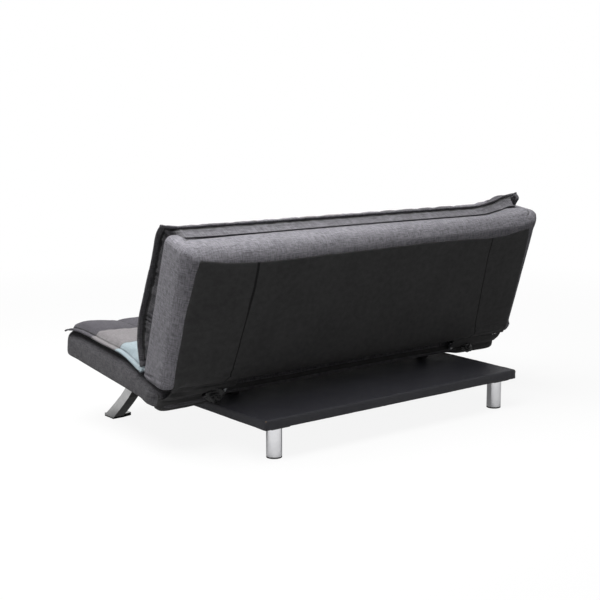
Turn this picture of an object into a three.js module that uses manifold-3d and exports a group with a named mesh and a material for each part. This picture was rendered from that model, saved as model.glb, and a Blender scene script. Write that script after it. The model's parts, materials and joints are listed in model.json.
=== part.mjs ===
// Click clack sofa bed: a padded seat and a padded back on steel frames, hinged together
// and carried by a low plinth. It is modelled as a sofa, and the back folds flat for a bed.
// Millimetres, +Z up, +X along the length, the front faces -Y, the origin on the floor.
// A slab's own frame has its origin on the fold hinge, +Y to the rear of the opened bed and
// +Z up, so the seat reaches to -Y and the back to +Y. Turning that frame makes the sofa.

import * as THREE from "three";
import { mergeVertices } from "three/addons/utils/BufferGeometryUtils.js";
import Module from "manifold-3d";

const wasm = await Module();
wasm.setup();

// Clearances
const contactGap = 0.3; // between faces that touch
const overrun = 3; // how far a cutter runs past what it cuts

// The whole sofa
const sofaLength = 1960; // over the toppers

// Stance: the angles of the sofa, and where the seat and the back turn
const seatTiltDegrees = 7.2; // front of the seat raised
const backReclineDegrees = 17; // back leaned from the vertical
const seatPivotToHinge = 302.4; // along the opened bed
const seatPivotAbovePlinth = 30;
const hingeFromPlinthRear = 372; // along the floor, in the sofa pose
const bedRestGap = 1.6; // between the plinth and the back that lies on it

// Plinth: a timber frame in a leatherette cover
const plinthFromSofaEnd = 280;
const plinthFrontFromPivot = 140; // ahead of the seat pivots
const plinthThickness = 41;
const plinthAboveFloor = 129;
const plinthCoverWall = 3;
const plinthCoverReturn = 118; // folded under the frame
const plinthPanelThickness = 12;
const plinthRailWidth = 60;

// Rear legs: plated tubes
const rearLegRadius = 31.5;
const rearLegWall = 2;
const rearLegFromSide = 83;
const rearLegFromRear = 55;
const rearLegPlateSide = 90;
const rearLegPlateThickness = 4;
const rearGlideHeight = 6;
const rearGlideSpigot = 14;
const rearStudRadius = 5;
const rearStudGrip = 22; // into the timber

// Front legs: sabre legs under the ends of the front rail
const frontLegFromPlinth = 75;
const frontLegWidth = 50;
const frontLegRun = 190; // how far the foot stands forward of the top
const frontLegTopDepth = 57;
const frontLegFootDepth = 72;
const legBowPower = 1.12; // over 1 bows the leg like a sabre
const legHeightShares = [0, 0.2, 0.45, 0.7, 1];
const frontLegToe = 45; // foot plate turned inwards
const frontLegToeHeight = 9;
const frontGlideHeight = 5;
const frontLegPlateThickness = 6;
const frontLegPlateInboard = 42;
const frontBoltRadius = 4;
const frontBoltHeadRadius = 7.5;
const frontBoltHeadHeight = 5;
const frontBoltGrip = 16;

// Front rail
const frontRailHeight = 30;
const frontRailDepth = 60;
const frontRailPastLeg = 7;
const frontRailWall = 2;
const frontRailSetBack = 6; // from the front of the plinth
const railCapThickness = 3;
const railCapSpigot = 14;

// Seat pivots: a lug on the seat frame between the ears of a bracket on the plinth
const pivotEarThickness = 4;
const pivotEarRadius = 14;
const pivotEarGap = 9;
const pivotBracketDepth = 52;
const pivotBracketFoot = 12; // flange outside each ear
const pivotLugThickness = 5;
const pivotLugTopDepth = 60;
const pivotPinRadius = 6;
const pivotPinHeadRadius = 9;
const pivotPinHeadHeight = 4;

// Rubber stops on the plinth, which carry the rear of the seat as a sofa
const seatStopFromPlinthSide = 160;
const seatStopWidth = 40;
const seatStopDepth = 34;

// Slabs: distances from the hinge, along the slab and across it
const slabFromSofaEnd = 5;
const seatSlabRear = 19.6;
const seatSlabFront = 688;
const seatSlabBelow = 31.4;
const seatSlabAbove = 81.6;
const seatSlopeStart = 220; // behind this the seat's top falls towards the hinge
const seatSlopeDegrees = 11;
const backSlabStart = 50;
const backSlabEnd = 650;
const backSlabBelow = 90;
const backSlabAbove = 100;
const slabCrown = 5;
const backRearCrown = 20; // how far the rear face falls in towards its ends
const backRearCrownPower = 5;
const slabDrawIn = 6; // sides pulled in between the corners
const slabEdgeLand = 6; // between a round edge or corner and the plain part
const seatTopEdge = 34;
const seatBottomEdge = 24;
const seatCorners = [42, 85]; // front and rear radius, seen from above
const backFrontEdge = 24;
const backRearEdge = 70;
const backRearEdgeRise = 50;
const backCorners = [55, 55];
const dustCoverThickness = 1.5;

// Toppers: quilted pads with a flanged, sewn edge
const topperFlangeWidth = 22;
const topperFlangeThickness = 8;
const topperColumns = 9;
const topperRows = 3;
const topperSwellRun = 55; // from the seam to the full loft
const topperBowPower = 4; // of the long edges, which are drawn in between the corners
const topperSideDrawIn = 10;
const topperChannelDepth = 7;
const seatTopperFront = 704;
const seatTopperRear = 90;
const seatTopperLoft = 30;
const seatTopperUnder = 60;
const seatTopperRise = 70;
const seatTopperFrontDrawIn = 24;
const seatTopperRearDrawIn = 8;
const backTopperStart = 88;
const backTopperEnd = 700;
const backTopperLoft = 26;
const backTopperUnder = 80;
const backTopperRise = 71;
const backTopperLowDrawIn = 8;
const backTopperHighDrawIn = 37;

// Steel frames inside the slabs
const frameTubeHeight = 25;
const frameWall = 2;
const seatFrameTubeDepth = 40;
const backFrameTubeDepth = 25;
const seatFrameAboveCover = 1.4; // from the slab's flat underside to the tubes
const backFrameAboveCover = 16; // from the fullest part of its rear face
const frameFromSlabEnd = 95;
const seatFrameRear = 45;
const seatFrameFront = 640;
const backFrameStart = 100;
const backFrameEnd = 590;
const seatCrossWidth = 25;
const seatCrossFromPlinthSide = 92.5;
const slatWidth = 50;
const slatThickness = 8;
const slatOverlap = 18; // on each long tube
const outerSeatSlatFromTubeEnd = 80;
const innerSeatSlatShare = 0.3375; // of the outer slats' distance from the middle
const outerBackSlatFromTubeEnd = 100;

// Click clack hinges, one at each end of the plinth
const hingeArmThickness = 4;
const hingeEyeRadius = 24;
const hingePinRadius = 6;
const hingePinHeadRadius = 10;
const hingePinHeadHeight = 4;
const hingeSidePlay = 0.5;
const hingeSlotMargin = 3; // clear foam beside and around the hinge
const ratchetThickness = 6;
const ratchetTipRadius = 22;
const ratchetToothDepth = 3.5;
const ratchetTeeth = 18;
const pawlPinFromHinge = 50;
const pawlPinAbove = 12;
const pawlBossRadius = 8;
const pawlPinRadius = 3;
const pawlNoseLift = 1.5; // the nose is held clear of the teeth
const pawlNoseDepth = 5;
const seatArmReach = 240;
const seatArmRise = 26;
const backArmReach = 230;

// Facets
const roundSides = 32;
const smallSides = 16;
const hexSides = 6;
const arcSteps = 10;
const edgeTurnSteps = 3;
const slabColumns = 10;
const slabRows = 6;

// Values that follow from the sizes above
const degrees = Math.PI / 180;
const seatTilt = seatTiltDegrees * degrees;
const backRecline = backReclineDegrees * degrees;
const topperHalfLength = sofaLength / 2;
const slabHalfLength = topperHalfLength - slabFromSofaEnd;
const frameHalfLength = slabHalfLength - frameFromSlabEnd;
const plinthHalfWidth = topperHalfLength - plinthFromSofaEnd;
const rearLegFromMiddle = plinthHalfWidth - rearLegFromSide;
const frontLegOuterX = plinthHalfWidth + frontLegFromPlinth + frontLegWidth;
const frontRailHalfLength = frontLegOuterX + frontRailPastLeg;
const seatStopFromMiddle = plinthHalfWidth - seatStopFromPlinthSide;
const seatCrossInner = plinthHalfWidth - seatCrossFromPlinthSide;
const outerSeatSlat = frameHalfLength - outerSeatSlatFromTubeEnd;
const outerBackSlat = frameHalfLength - outerBackSlatFromTubeEnd;
const innerSeatSlat = outerSeatSlat * innerSeatSlatShare;
const seatSlatPlaces = [-outerSeatSlat, -innerSeatSlat, innerSeatSlat, outerSeatSlat];
const backSlatPlaces = [-outerBackSlat, 0, outerBackSlat];
const plinthTop = plinthAboveFloor + plinthThickness;
const coverDrop = contactGap + dustCoverThickness; // a cover hangs this far below its slab
const hingeHeightAsBed = plinthTop + bedRestGap + coverDrop + backSlabBelow;
const seatPivotHeight = plinthTop + seatPivotAbovePlinth;
const seatPivotBelowHinge = hingeHeightAsBed - seatPivotHeight;
const hingeHeight =
  seatPivotHeight +
  seatPivotBelowHinge * Math.cos(seatTilt) -
  seatPivotToHinge * Math.sin(seatTilt);
const seatPivotAhead =
  seatPivotToHinge * Math.cos(seatTilt) + seatPivotBelowHinge * Math.sin(seatTilt);
const frameBottomOfSeat = seatFrameAboveCover - seatSlabBelow;
const frameTopOfSeat = frameBottomOfSeat + frameTubeHeight;
const frameBottomOfBack = backFrameAboveCover - backSlabBelow;
const frameTopOfBack = frameBottomOfBack + frameTubeHeight;

// Finishes
const leatherette = finish("plinth_leatherette", 0x2a2a2e, 0.55, 0);
const timber = finish("timber", 0xb8935f, 0.7, 0);
const chrome = finish("polished_chrome", 0xc9c9c9, 0.12, 1);
const paintedSteel = finish("painted_steel", 0x1c1c1e, 0.5, 0.4);
const zincSteel = finish("zinc_steel", 0x9a9c9e, 0.35, 0.9);
const blackPlastic = finish("black_plastic", 0x141414, 0.6, 0);
const rubber = finish("rubber", 0x1a1a1a, 0.85, 0);
const greyWeave = finish("grey_weave", 0x77757a, 0.9, 0);
const darkWeave = finish("dark_weave", 0x55545a, 0.9, 0);
const blackCloth = finish("black_cloth", 0x202020, 0.95, 0);

function finish(name, color, roughness, metalness) {
  return new THREE.MeshStandardMaterial({ name, color, roughness, metalness });
}

// Solids from closed meshes, and back
function toSolid(geometry) {
  const bare = new THREE.BufferGeometry();
  const loose = geometry.index ? geometry.toNonIndexed() : geometry;
  bare.setAttribute("position", loose.getAttribute("position"));
  const merged = mergeVertices(bare);
  const mesh = new wasm.Mesh({
    numProp: 3,
    vertProperties: new Float32Array(merged.attributes.position.array),
    triVerts: new Uint32Array(merged.index.array),
  });
  return new wasm.Manifold(mesh);
}

function toGeometry(solid) {
  const mesh = solid.getMesh();
  const geometry = new THREE.BufferGeometry();
  geometry.setAttribute("position", new THREE.BufferAttribute(mesh.vertProperties, mesh.numProp));
  geometry.setIndex(new THREE.BufferAttribute(mesh.triVerts, 1));
  geometry.computeVertexNormals();
  return geometry;
}

function cut(geometry, cutters) {
  let solid = toSolid(geometry);
  for (const cutter of cutters) solid = solid.subtract(toSolid(cutter));
  return toGeometry(solid);
}

function join(geometries) {
  let solid = toSolid(geometries[0]);
  for (const geometry of geometries.slice(1)) solid = solid.add(toSolid(geometry));
  return toGeometry(solid);
}

// Plain forms, placed by their limits
function block([x0, x1], [y0, y1], [z0, z1]) {
  const geometry = new THREE.BoxGeometry(x1 - x0, y1 - y0, z1 - z0);
  return geometry.translate((x0 + x1) / 2, (y0 + y1) / 2, (z0 + z1) / 2);
}

// An outline of [y, z] points, drawn out along X
function plate(outline, [x0, x1]) {
  const shape = new THREE.Shape(outline.map(([y, z]) => new THREE.Vector2(y, z)));
  const geometry = new THREE.ExtrudeGeometry(shape, { depth: x1 - x0, bevelEnabled: false });
  geometry.applyMatrix4(new THREE.Matrix4().set(0, 0, 1, x0, 1, 0, 0, 0, 0, 1, 0, 0, 0, 0, 0, 1));
  return geometry;
}

// An outline of [x, y] points, drawn up along Z
function slice(outline, [z0, z1]) {
  const shape = new THREE.Shape(outline.map(([x, y]) => new THREE.Vector2(x, y)));
  const geometry = new THREE.ExtrudeGeometry(shape, { depth: z1 - z0, bevelEnabled: false });
  return geometry.translate(0, 0, z0);
}

function rodAlongX(radius, [x0, x1], [y, z], sides = smallSides) {
  const geometry = new THREE.CylinderGeometry(radius, radius, x1 - x0, sides);
  return geometry.rotateZ(Math.PI / 2).translate((x0 + x1) / 2, y, z);
}

function rodAlongZ(radius, [z0, z1], [x, y], sides = smallSides) {
  const geometry = new THREE.CylinderGeometry(radius, radius, z1 - z0, sides);
  return geometry.rotateX(Math.PI / 2).translate(x, y, (z0 + z1) / 2);
}

// Points of an arc about [y, z], from one angle to another
function arc([y, z], radius, from, to, steps) {
  const points = [];
  for (let step = 0; step <= steps; step += 1) {
    const angle = from + ((to - from) * step) / steps;
    points.push([y + radius * Math.cos(angle), z + radius * Math.sin(angle)]);
  }
  return points;
}

function grow([low, high], by) {
  return [low - by, high + by];
}

// A rectangular tube, open at the ends of its long axis
function rectangularTube(limits, wall, along) {
  const inner = limits.map((limit, axis) => grow(limit, axis === along ? overrun : -wall));
  return cut(block(...limits), [block(...inner)]);
}

// A closed pad over a grid: a face above, a face below and a wall round the rim
function closedPad(columns, rows, pointAbove, pointBelow) {
  const vertices = [];
  const faces = [];
  const index = (face, column, row) => (face * columns + column) * rows + row;
  for (const pointAt of [pointAbove, pointBelow])
    for (let column = 0; column < columns; column += 1)
      for (let row = 0; row < rows; row += 1) vertices.push(...pointAt(column, row));
  const quad = (a, b, c, d) => faces.push(a, b, c, a, c, d);
  for (let column = 0; column + 1 < columns; column += 1)
    for (let row = 0; row + 1 < rows; row += 1) {
      const corners = [
        [column, row],
        [column + 1, row],
        [column + 1, row + 1],
        [column, row + 1],
      ];
      const [a, b, c, d] = corners.map((corner) => index(0, ...corner));
      const [e, f, g, h] = corners.map((corner) => index(1, ...corner));
      quad(a, b, c, d);
      quad(e, h, g, f);
    }
  const rim = [];
  for (let column = 0; column < columns; column += 1) rim.push([column, 0]);
  for (let row = 1; row < rows; row += 1) rim.push([columns - 1, row]);
  for (let column = columns - 2; column >= 0; column -= 1) rim.push([column, rows - 1]);
  for (let row = rows - 2; row > 0; row -= 1) rim.push([0, row]);
  rim.forEach(([c, r], place) => {
    const [nextC, nextR] = rim[(place + 1) % rim.length];
    quad(index(1, c, r), index(1, nextC, nextR), index(0, nextC, nextR), index(0, c, r));
  });
  const geometry = new THREE.BufferGeometry();
  geometry.setAttribute("position", new THREE.Float32BufferAttribute(vertices, 3));
  geometry.setIndex(faces);
  geometry.computeVertexNormals();
  return geometry;
}

// Places across a slab: a round edge in equal turns, even steps, and the other round edge
function slabStations([low, high], edge, border, innerSteps) {
  const quarter = Math.PI / 2;
  const stations = [];
  for (let step = 0; step <= edgeTurnSteps; step += 1) {
    const turn = quarter * (1 - step / edgeTurnSteps);
    stations.push({ at: low + edge * (1 - Math.sin(turn)), turn });
  }
  for (let step = 0; step <= innerSteps; step += 1)
    stations.push({ at: low + border + ((high - low - 2 * border) * step) / innerSteps, turn: 0 });
  for (let step = 0; step <= edgeTurnSteps; step += 1) {
    const turn = (quarter * step) / edgeTurnSteps;
    stations.push({ at: high - edge * (1 - Math.sin(turn)), turn });
  }
  return stations;
}

// How far a point on the slab's plan is moved: round corners, and sides that pull in
function planPoint(x, y, [low, high], [frontCorner, rearCorner]) {
  const middle = (low + high) / 2;
  const half = (high - low) / 2;
  const corner = y < middle ? frontCorner : rearCorner;
  const alongShare = x / slabHalfLength;
  const acrossShare = (y - middle) / half;
  const overX = Math.abs(x) - (slabHalfLength - corner);
  const overY = Math.abs(y - middle) - (half - corner);
  let roundX = Math.abs(x);
  let roundY = Math.abs(y - middle);
  if (overX > 0 && overY > 0) {
    const pull = Math.max(overX, overY) / Math.hypot(overX, overY);
    roundX = slabHalfLength - corner + overX * pull;
    roundY = half - corner + overY * pull;
  }
  roundX -= slabDrawIn * (1 - acrossShare ** 2) * Math.abs(alongShare) ** 8;
  roundY -= slabDrawIn * (1 - alongShare ** 2) * Math.abs(acrossShare) ** 8;
  return [Math.sign(x) * roundX, middle + Math.sign(y - middle) * roundY];
}

function crownAt(x, y, [low, high]) {
  const along = 1 - (x / slabHalfLength) ** 2;
  const across = 1 - ((2 * y - low - high) / (high - low)) ** 2;
  return slabCrown * Math.max(0, along) * Math.max(0, across);
}

// One face of a slab; heightAt is given how far the round edge has turned away, from 0 to 1
const slabColumnCount = slabColumns + 2 * edgeTurnSteps + 3;
const slabRowCount = slabRows + 2 * edgeTurnSteps + 3;
function slabFace(depthLimits, corners, edge, heightAt) {
  const border = Math.max(edge, ...corners) + slabEdgeLand;
  const columns = slabStations([-slabHalfLength, slabHalfLength], edge, border, slabColumns);
  const rows = slabStations(depthLimits, edge, border, slabRows);
  return (column, row) => {
    const [x, y] = planPoint(columns[column].at, rows[row].at, depthLimits, corners);
    const fall = 1 - Math.cos(columns[column].turn) * Math.cos(rows[row].turn);
    return [x, y, heightAt(x, y, fall)];
  };
}

// A cloth cover under a slab, up to the second step of its round edge
function coverUnder(face) {
  const step = edgeTurnSteps - 1;
  const lowered = (by) => (column, row) => {
    const [x, y, z] = face(column + step, row + step);
    return [x, y, z - by];
  };
  const counts = [slabColumnCount, slabRowCount].map((count) => count - 2 * step);
  return closedPad(...counts, lowered(contactGap), lowered(coverDrop));
}

// The limits and the faces of each slab
const seatDepthLimits = [-seatSlabFront, seatSlabRear];
const backDepthLimits = [backSlabStart, backSlabEnd];

function seatTopAt(x, y) {
  const slope = Math.tan(seatSlopeDegrees * degrees) * Math.max(0, y + seatSlopeStart);
  return seatSlabAbove - slope + crownAt(x, y, seatDepthLimits);
}

function backTopAt(x, y) {
  return backSlabAbove + crownAt(x, y, backDepthLimits);
}

function backRearAt(x) {
  return backRearCrown * Math.abs(x / slabHalfLength) ** backRearCrownPower - backSlabBelow;
}

// The height that a slab holds up what lies on it, and nothing past its sides
function supportAt(topAt, [low, high]) {
  return (x, y) => {
    const distance = Math.min(y - low, high - y, slabHalfLength - Math.abs(x));
    return distance < 0 ? -Infinity : topAt(x, y);
  };
}

// Places along one side of a topper: the flange, then patches with a channel between each two
const patchShares = [0, 0.12, 0.5, 0.88];
function topperStations(low, high, patches) {
  const seamLow = low + topperFlangeWidth;
  const patchLength = (high - low - 2 * topperFlangeWidth) / patches;
  const stations = [{ at: low, fullness: 0 }];
  for (let patch = 0; patch < patches; patch += 1)
    for (const share of patchShares) {
      const fullness = 1 - Math.abs(2 * share - 1) ** 3;
      stations.push({ at: seamLow + patchLength * (patch + share), fullness });
    }
  stations.push({ at: high - topperFlangeWidth, fullness: 0 }, { at: high, fullness: 0 });
  for (const station of stations) {
    const inward = Math.min(station.at - low, high - station.at) - topperFlangeWidth;
    const share = Math.min(1, Math.max(0, inward) / topperSwellRun);
    station.swell = Math.sqrt(1 - (1 - share) ** 2);
  }
  return stations;
}

// A topper follows a spine of [share along, share of the rise] through its flange; drawIns are
// for its first edge and its last
function topper({ spineShares, start, end, drawIns, base, rise, loft, under, restsOn }) {
  const spine = new THREE.CatmullRomCurve3(
    spineShares.map(
      ([along, up]) => new THREE.Vector3(0, start + (end - start) * along, base + rise * up),
    ),
  );
  const columns = topperStations(-topperHalfLength, topperHalfLength, topperColumns);
  const rows = topperStations(0, spine.getLength(), topperRows);
  const point = (column, row, side) => {
    const { at: straightX, swell: swellX, fullness: fullX } = columns[column];
    const { at, swell: swellY, fullness: fullY } = rows[row];
    const share = at / spine.getLength();
    const endShare = Math.abs(straightX / topperHalfLength) ** topperBowPower;
    const middleShare = 1 - Math.abs(2 * share - 1) ** topperBowPower;
    const x = straightX - Math.sign(straightX) * topperSideDrawIn * endShare * middleShare;
    const drawn = drawIns[0] * (1 - share) ** 3 - drawIns[1] * share ** 3;
    const place = spine.getPointAt(share);
    const tangent = spine.getTangentAt(share);
    const swell = swellX * swellY;
    const channel = topperChannelDepth * (1 - fullX * fullY) * swell;
    const bulge = side > 0 ? loft * swell - channel : under * swell;
    const offset = side * (topperFlangeThickness / 2 + bulge);
    const y = place.y + drawn * (1 - endShare) - tangent.z * offset;
    const z = place.z + tangent.y * offset;
    return [x, y, side > 0 ? z : Math.max(z, restsOn(x, y) + contactGap)];
  };
  const above = (column, row) => point(column, row, 1);
  const below = (column, row) => point(column, row, -1);
  return closedPad(columns.length, rows.length, above, below);
}

// The model: the base stands still, and the seat and the back each have the hinge's frame
const sofaBed = new THREE.Group();
const base = new THREE.Group();
const seat = new THREE.Group();
const back = new THREE.Group();
const plinthRear = 0;
const hingePlace = new THREE.Vector3(0, plinthRear - hingeFromPlinthRear, hingeHeight);
const seatPivotY = hingePlace.y - seatPivotAhead;
const plinthFront = seatPivotY - plinthFrontFromPivot;
seat.position.copy(hingePlace);
seat.rotation.x = -seatTilt;
back.position.copy(hingePlace);
back.rotation.x = Math.PI / 2 - backRecline;
sofaBed.add(base, seat, back);

function add(group, name, geometry, material) {
  const mesh = new THREE.Mesh(geometry, material);
  mesh.name = name;
  group.add(mesh);
  return mesh;
}

// A piece at the right-hand end, seen from the front, and its mirror image at the left
function addPair(group, name, geometry, material) {
  add(group, `${name}_right`, geometry, material);
  add(group, `${name}_left`, geometry, material).scale.x = -1;
}

function buildPlinth() {
  const outer = [
    [-plinthHalfWidth, plinthHalfWidth],
    [plinthFront, plinthRear],
    [plinthAboveFloor, plinthTop],
  ];
  const inner = outer.map((limit) => grow(limit, -plinthCoverWall));
  const mouth = outer.map((limit) => grow(limit, -plinthCoverReturn));
  mouth[2] = [plinthAboveFloor - overrun, plinthAboveFloor + plinthThickness / 2];
  const studHole = rodAlongZ(
    rearStudRadius + contactGap,
    [plinthAboveFloor - overrun, plinthAboveFloor + rearStudGrip + contactGap],
    [rearLegFromMiddle, plinthRear - rearLegFromRear],
  );
  const otherHole = studHole.clone().translate(-2 * rearLegFromMiddle, 0, 0);
  const cover = cut(block(...outer), [block(...inner), block(...mouth), studHole, otherHole]);
  add(base, "plinth_cover", cover, leatherette);

  const [xIn, yIn, zIn] = inner.map((limit) => grow(limit, -contactGap));
  const panelBottom = zIn[1] - plinthPanelThickness;
  const railZ = [zIn[0], panelBottom - contactGap];
  add(base, "plinth_panel", block(xIn, yIn, [panelBottom, zIn[1]]), timber);
  const rearRailY = [yIn[1] - plinthRailWidth, yIn[1]];
  const frontRailY = [yIn[0], yIn[0] + plinthRailWidth];
  const sideRailY = [frontRailY[1] + contactGap, rearRailY[0] - contactGap];
  const sideRailX = [xIn[1] - plinthRailWidth, xIn[1]];
  const rearRail = cut(block(xIn, rearRailY, railZ), [studHole, otherHole]);
  add(base, "plinth_rail_rear", rearRail, timber);
  add(base, "plinth_rail_front", block(xIn, frontRailY, railZ), timber);
  addPair(base, "plinth_rail", block(sideRailX, sideRailY, railZ), timber);
}

function buildRearLegs() {
  const place = [rearLegFromMiddle, plinthRear - rearLegFromRear];
  const plateTop = plinthAboveFloor - contactGap;
  const plateBottom = plateTop - rearLegPlateThickness;
  const plateLimits = place.map((centre) => grow([centre, centre], rearLegPlateSide / 2));
  const legPlate = join([
    block(...plateLimits, [plateBottom, plateTop]),
    rodAlongZ(rearStudRadius, [plateBottom + contactGap, plateTop + rearStudGrip], place),
  ]);
  addPair(base, "rear_leg_plate", legPlate, paintedSteel);

  const tubeZ = [rearGlideHeight + contactGap, plateBottom - contactGap];
  const boreRadius = rearLegRadius - rearLegWall;
  const bore = rodAlongZ(boreRadius, grow(tubeZ, overrun), place, roundSides);
  const tube = cut(rodAlongZ(rearLegRadius, tubeZ, place, roundSides), [bore]);
  addPair(base, "rear_leg_tube", tube, chrome);

  const spigotZ = [rearGlideHeight / 2, rearGlideHeight + rearGlideSpigot];
  const glide = join([
    rodAlongZ(rearLegRadius, [0, rearGlideHeight], place, roundSides),
    rodAlongZ(boreRadius - contactGap, spigotZ, place, roundSides),
  ]);
  addPair(base, "rear_leg_glide", glide, blackPlastic);
}

// Front rail, its plugs, and the sabre legs under its ends
function buildFront() {
  const railY = [plinthFront + frontRailSetBack, plinthFront + frontRailSetBack + frontRailDepth];
  const railZ = [plinthTop + contactGap, plinthTop + contactGap + frontRailHeight];
  const railX = [-frontRailHalfLength, frontRailHalfLength];
  const plateTop = railZ[0] - contactGap;
  const plateZ = [plateTop - frontLegPlateThickness, plateTop];
  const legInnerX = frontLegOuterX - frontLegWidth;
  const plateX = [legInnerX - frontLegPlateInboard, frontLegOuterX];
  const boltPlace = [legInnerX - frontLegPlateInboard / 2, (railY[0] + railY[1]) / 2];
  const boltTop = plateTop + frontBoltGrip;
  const hole = rodAlongZ(
    frontBoltRadius + contactGap,
    [plateZ[0] - overrun, boltTop + overrun],
    boltPlace,
  );
  const otherHole = hole.clone().translate(-2 * boltPlace[0], 0, 0);
  const tube = rectangularTube([railX, railY, railZ], frontRailWall, 0);
  add(base, "front_rail", cut(tube, [hole, otherHole]), paintedSteel);

  const capInner = frontRailHalfLength + contactGap;
  const spigot = -frontRailWall - contactGap;
  const cap = join([
    block([capInner, capInner + railCapThickness], railY, railZ),
    block(
      [frontRailHalfLength - railCapSpigot, capInner + railCapThickness / 2],
      grow(railY, spigot),
      grow(railZ, spigot),
    ),
  ]);
  addPair(base, "front_rail_cap", cap, blackPlastic);

  const footZ = frontGlideHeight + contactGap;
  const legHeight = plateTop - footZ;
  const topFront = railY[0];
  const rearRun = frontLegRun + frontLegTopDepth - frontLegFootDepth;
  const legEdge = (topY, run) =>
    legHeightShares.map((share) => [
      topY - run * (1 - share) ** legBowPower,
      footZ + legHeight * share,
    ]);
  const frontEdge = legEdge(topFront, frontLegRun);
  const rearEdge = legEdge(topFront + frontLegTopDepth, rearRun);
  const footFront = frontEdge[0][0];
  const footRear = rearEdge[0][0];
  const toeX = legInnerX - frontLegToe;
  const toeInset = frontLegFootDepth / 2;
  const footprint = [
    [frontLegOuterX, footFront],
    [frontLegOuterX, footRear],
    [legInnerX, footRear],
    [toeX, footRear - frontLegToeHeight],
    [toeX, footFront + toeInset],
    [legInnerX, footFront],
  ];
  const leg = join([
    plate([...frontEdge, ...rearEdge.reverse()], [legInnerX, frontLegOuterX]),
    slice(footprint, [footZ, footZ + frontLegToeHeight]),
    cut(block(plateX, railY, plateZ), [hole]),
  ]);
  addPair(base, "front_leg", leg, chrome);
  addPair(base, "front_leg_glide", slice(footprint, [0, frontGlideHeight]), rubber);

  const headTop = plateZ[0] - contactGap;
  const bolt = join([
    rodAlongZ(frontBoltHeadRadius, [headTop - frontBoltHeadHeight, headTop], boltPlace, hexSides),
    rodAlongZ(frontBoltRadius, [headTop - frontBoltHeadHeight / 2, boltTop], boltPlace),
  ]);
  addPair(base, "front_leg_bolt", bolt, zincSteel);
}

// Ears, lug and pin on which the seat tilts; x runs outwards from the middle
const lugX = [seatCrossInner - contactGap - pivotLugThickness, seatCrossInner - contactGap];
const earGapX = grow(lugX, (pivotEarGap - pivotLugThickness) / 2);
const earX = [
  [earGapX[0] - pivotEarThickness, earGapX[0]],
  [earGapX[1], earGapX[1] + pivotEarThickness],
];

function buildSeatPivots() {
  const centre = [seatPivotY, seatPivotHeight];
  const footTop = plinthTop + contactGap + pivotEarThickness;
  const halfDepth = pivotBracketDepth / 2;
  const ear = [
    [seatPivotY - halfDepth, footTop - pivotEarThickness],
    [seatPivotY + halfDepth, footTop - pivotEarThickness],
    ...arc(centre, pivotEarRadius, 0, Math.PI, arcSteps),
  ];
  const footX = grow([earX[0][0], earX[1][1]], pivotBracketFoot);
  const footZ = [plinthTop + contactGap, footTop];
  const hole = rodAlongX(pivotPinRadius + contactGap, grow(footX, overrun), centre);
  const bracket = join([
    block(footX, grow([seatPivotY, seatPivotY], halfDepth), footZ),
    plate(ear, earX[0]),
    plate(ear, earX[1]),
  ]);
  addPair(base, "seat_pivot_bracket", cut(bracket, [hole]), paintedSteel);

  const headOuter = earX[0][0] - contactGap;
  const pin = join([
    rodAlongX(pivotPinHeadRadius, [headOuter - pivotPinHeadHeight, headOuter], centre),
    rodAlongX(pivotPinRadius, [headOuter - pivotPinHeadHeight / 2, footX[1]], centre),
  ]);
  addPair(base, "seat_pivot_pin", pin, zincSteel);

  const lugCentre = [-seatPivotToHinge, -seatPivotBelowHinge];
  const lugHalf = pivotLugTopDepth / 2;
  const lug = [
    ...arc(lugCentre, pivotEarRadius, Math.PI, 2 * Math.PI, arcSteps),
    [lugCentre[0] + lugHalf, frameBottomOfSeat],
    [lugCentre[0] + lugHalf, frameTopOfSeat],
    [lugCentre[0] - lugHalf, frameTopOfSeat],
    [lugCentre[0] - lugHalf, frameBottomOfSeat],
  ];
  const lugHole = rodAlongX(pivotPinRadius + contactGap, grow(lugX, overrun), lugCentre);
  addPair(seat, "seat_pivot_lug", cut(plate(lug, lugX), [lugHole]), paintedSteel);
}

// Frames: in each slab two long tubes, two cross tubes and sprung slats
const longTubeX = [-frameHalfLength, frameHalfLength];
const seatFrameZ = [frameBottomOfSeat, frameTopOfSeat];
const seatFrontTubeY = [-seatFrameFront, seatFrameTubeDepth - seatFrameFront];
const seatRearTubeY = [-seatFrameRear - seatFrameTubeDepth, -seatFrameRear];
const seatCrossX = [seatCrossInner, seatCrossInner + seatCrossWidth];
const seatCrossY = [seatFrontTubeY[1] + contactGap, seatRearTubeY[0] - contactGap];
const seatSlatY = [seatFrontTubeY[1] - slatOverlap, seatRearTubeY[0] + slatOverlap];
const backFrameZ = [frameBottomOfBack, frameTopOfBack];
const backLowTubeY = [backFrameStart, backFrameStart + backFrameTubeDepth];
const backHighTubeY = [backFrameEnd - backFrameTubeDepth, backFrameEnd];
const backCrossY = [backLowTubeY[1] + contactGap, backHighTubeY[0] - contactGap];
const backSlatY = [backLowTubeY[1] - slatOverlap, backHighTubeY[0] + slatOverlap];

// Each hinge from the middle outwards: pin head, seat arm, ratchet, back arm, pin head
const seatArmX = [seatCrossX[1] + contactGap, seatCrossX[1] + contactGap + hingeArmThickness];
const ratchetX = [seatArmX[1] + hingeSidePlay, seatArmX[1] + hingeSidePlay + ratchetThickness];
const backArmX = [ratchetX[1] + contactGap, ratchetX[1] + contactGap + hingeArmThickness];
const backCrossX = [backArmX[1] + contactGap, backArmX[1] + contactGap + backFrameTubeDepth];
const hingePinX = [
  seatArmX[0] - contactGap - hingePinHeadHeight,
  backArmX[1] + contactGap + hingePinHeadHeight,
];

function slatLimits(place, yLimits, restsOn) {
  const bottom = restsOn + contactGap;
  return [grow([place, place], slatWidth / 2), yLimits, [bottom, bottom + slatThickness]];
}

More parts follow.
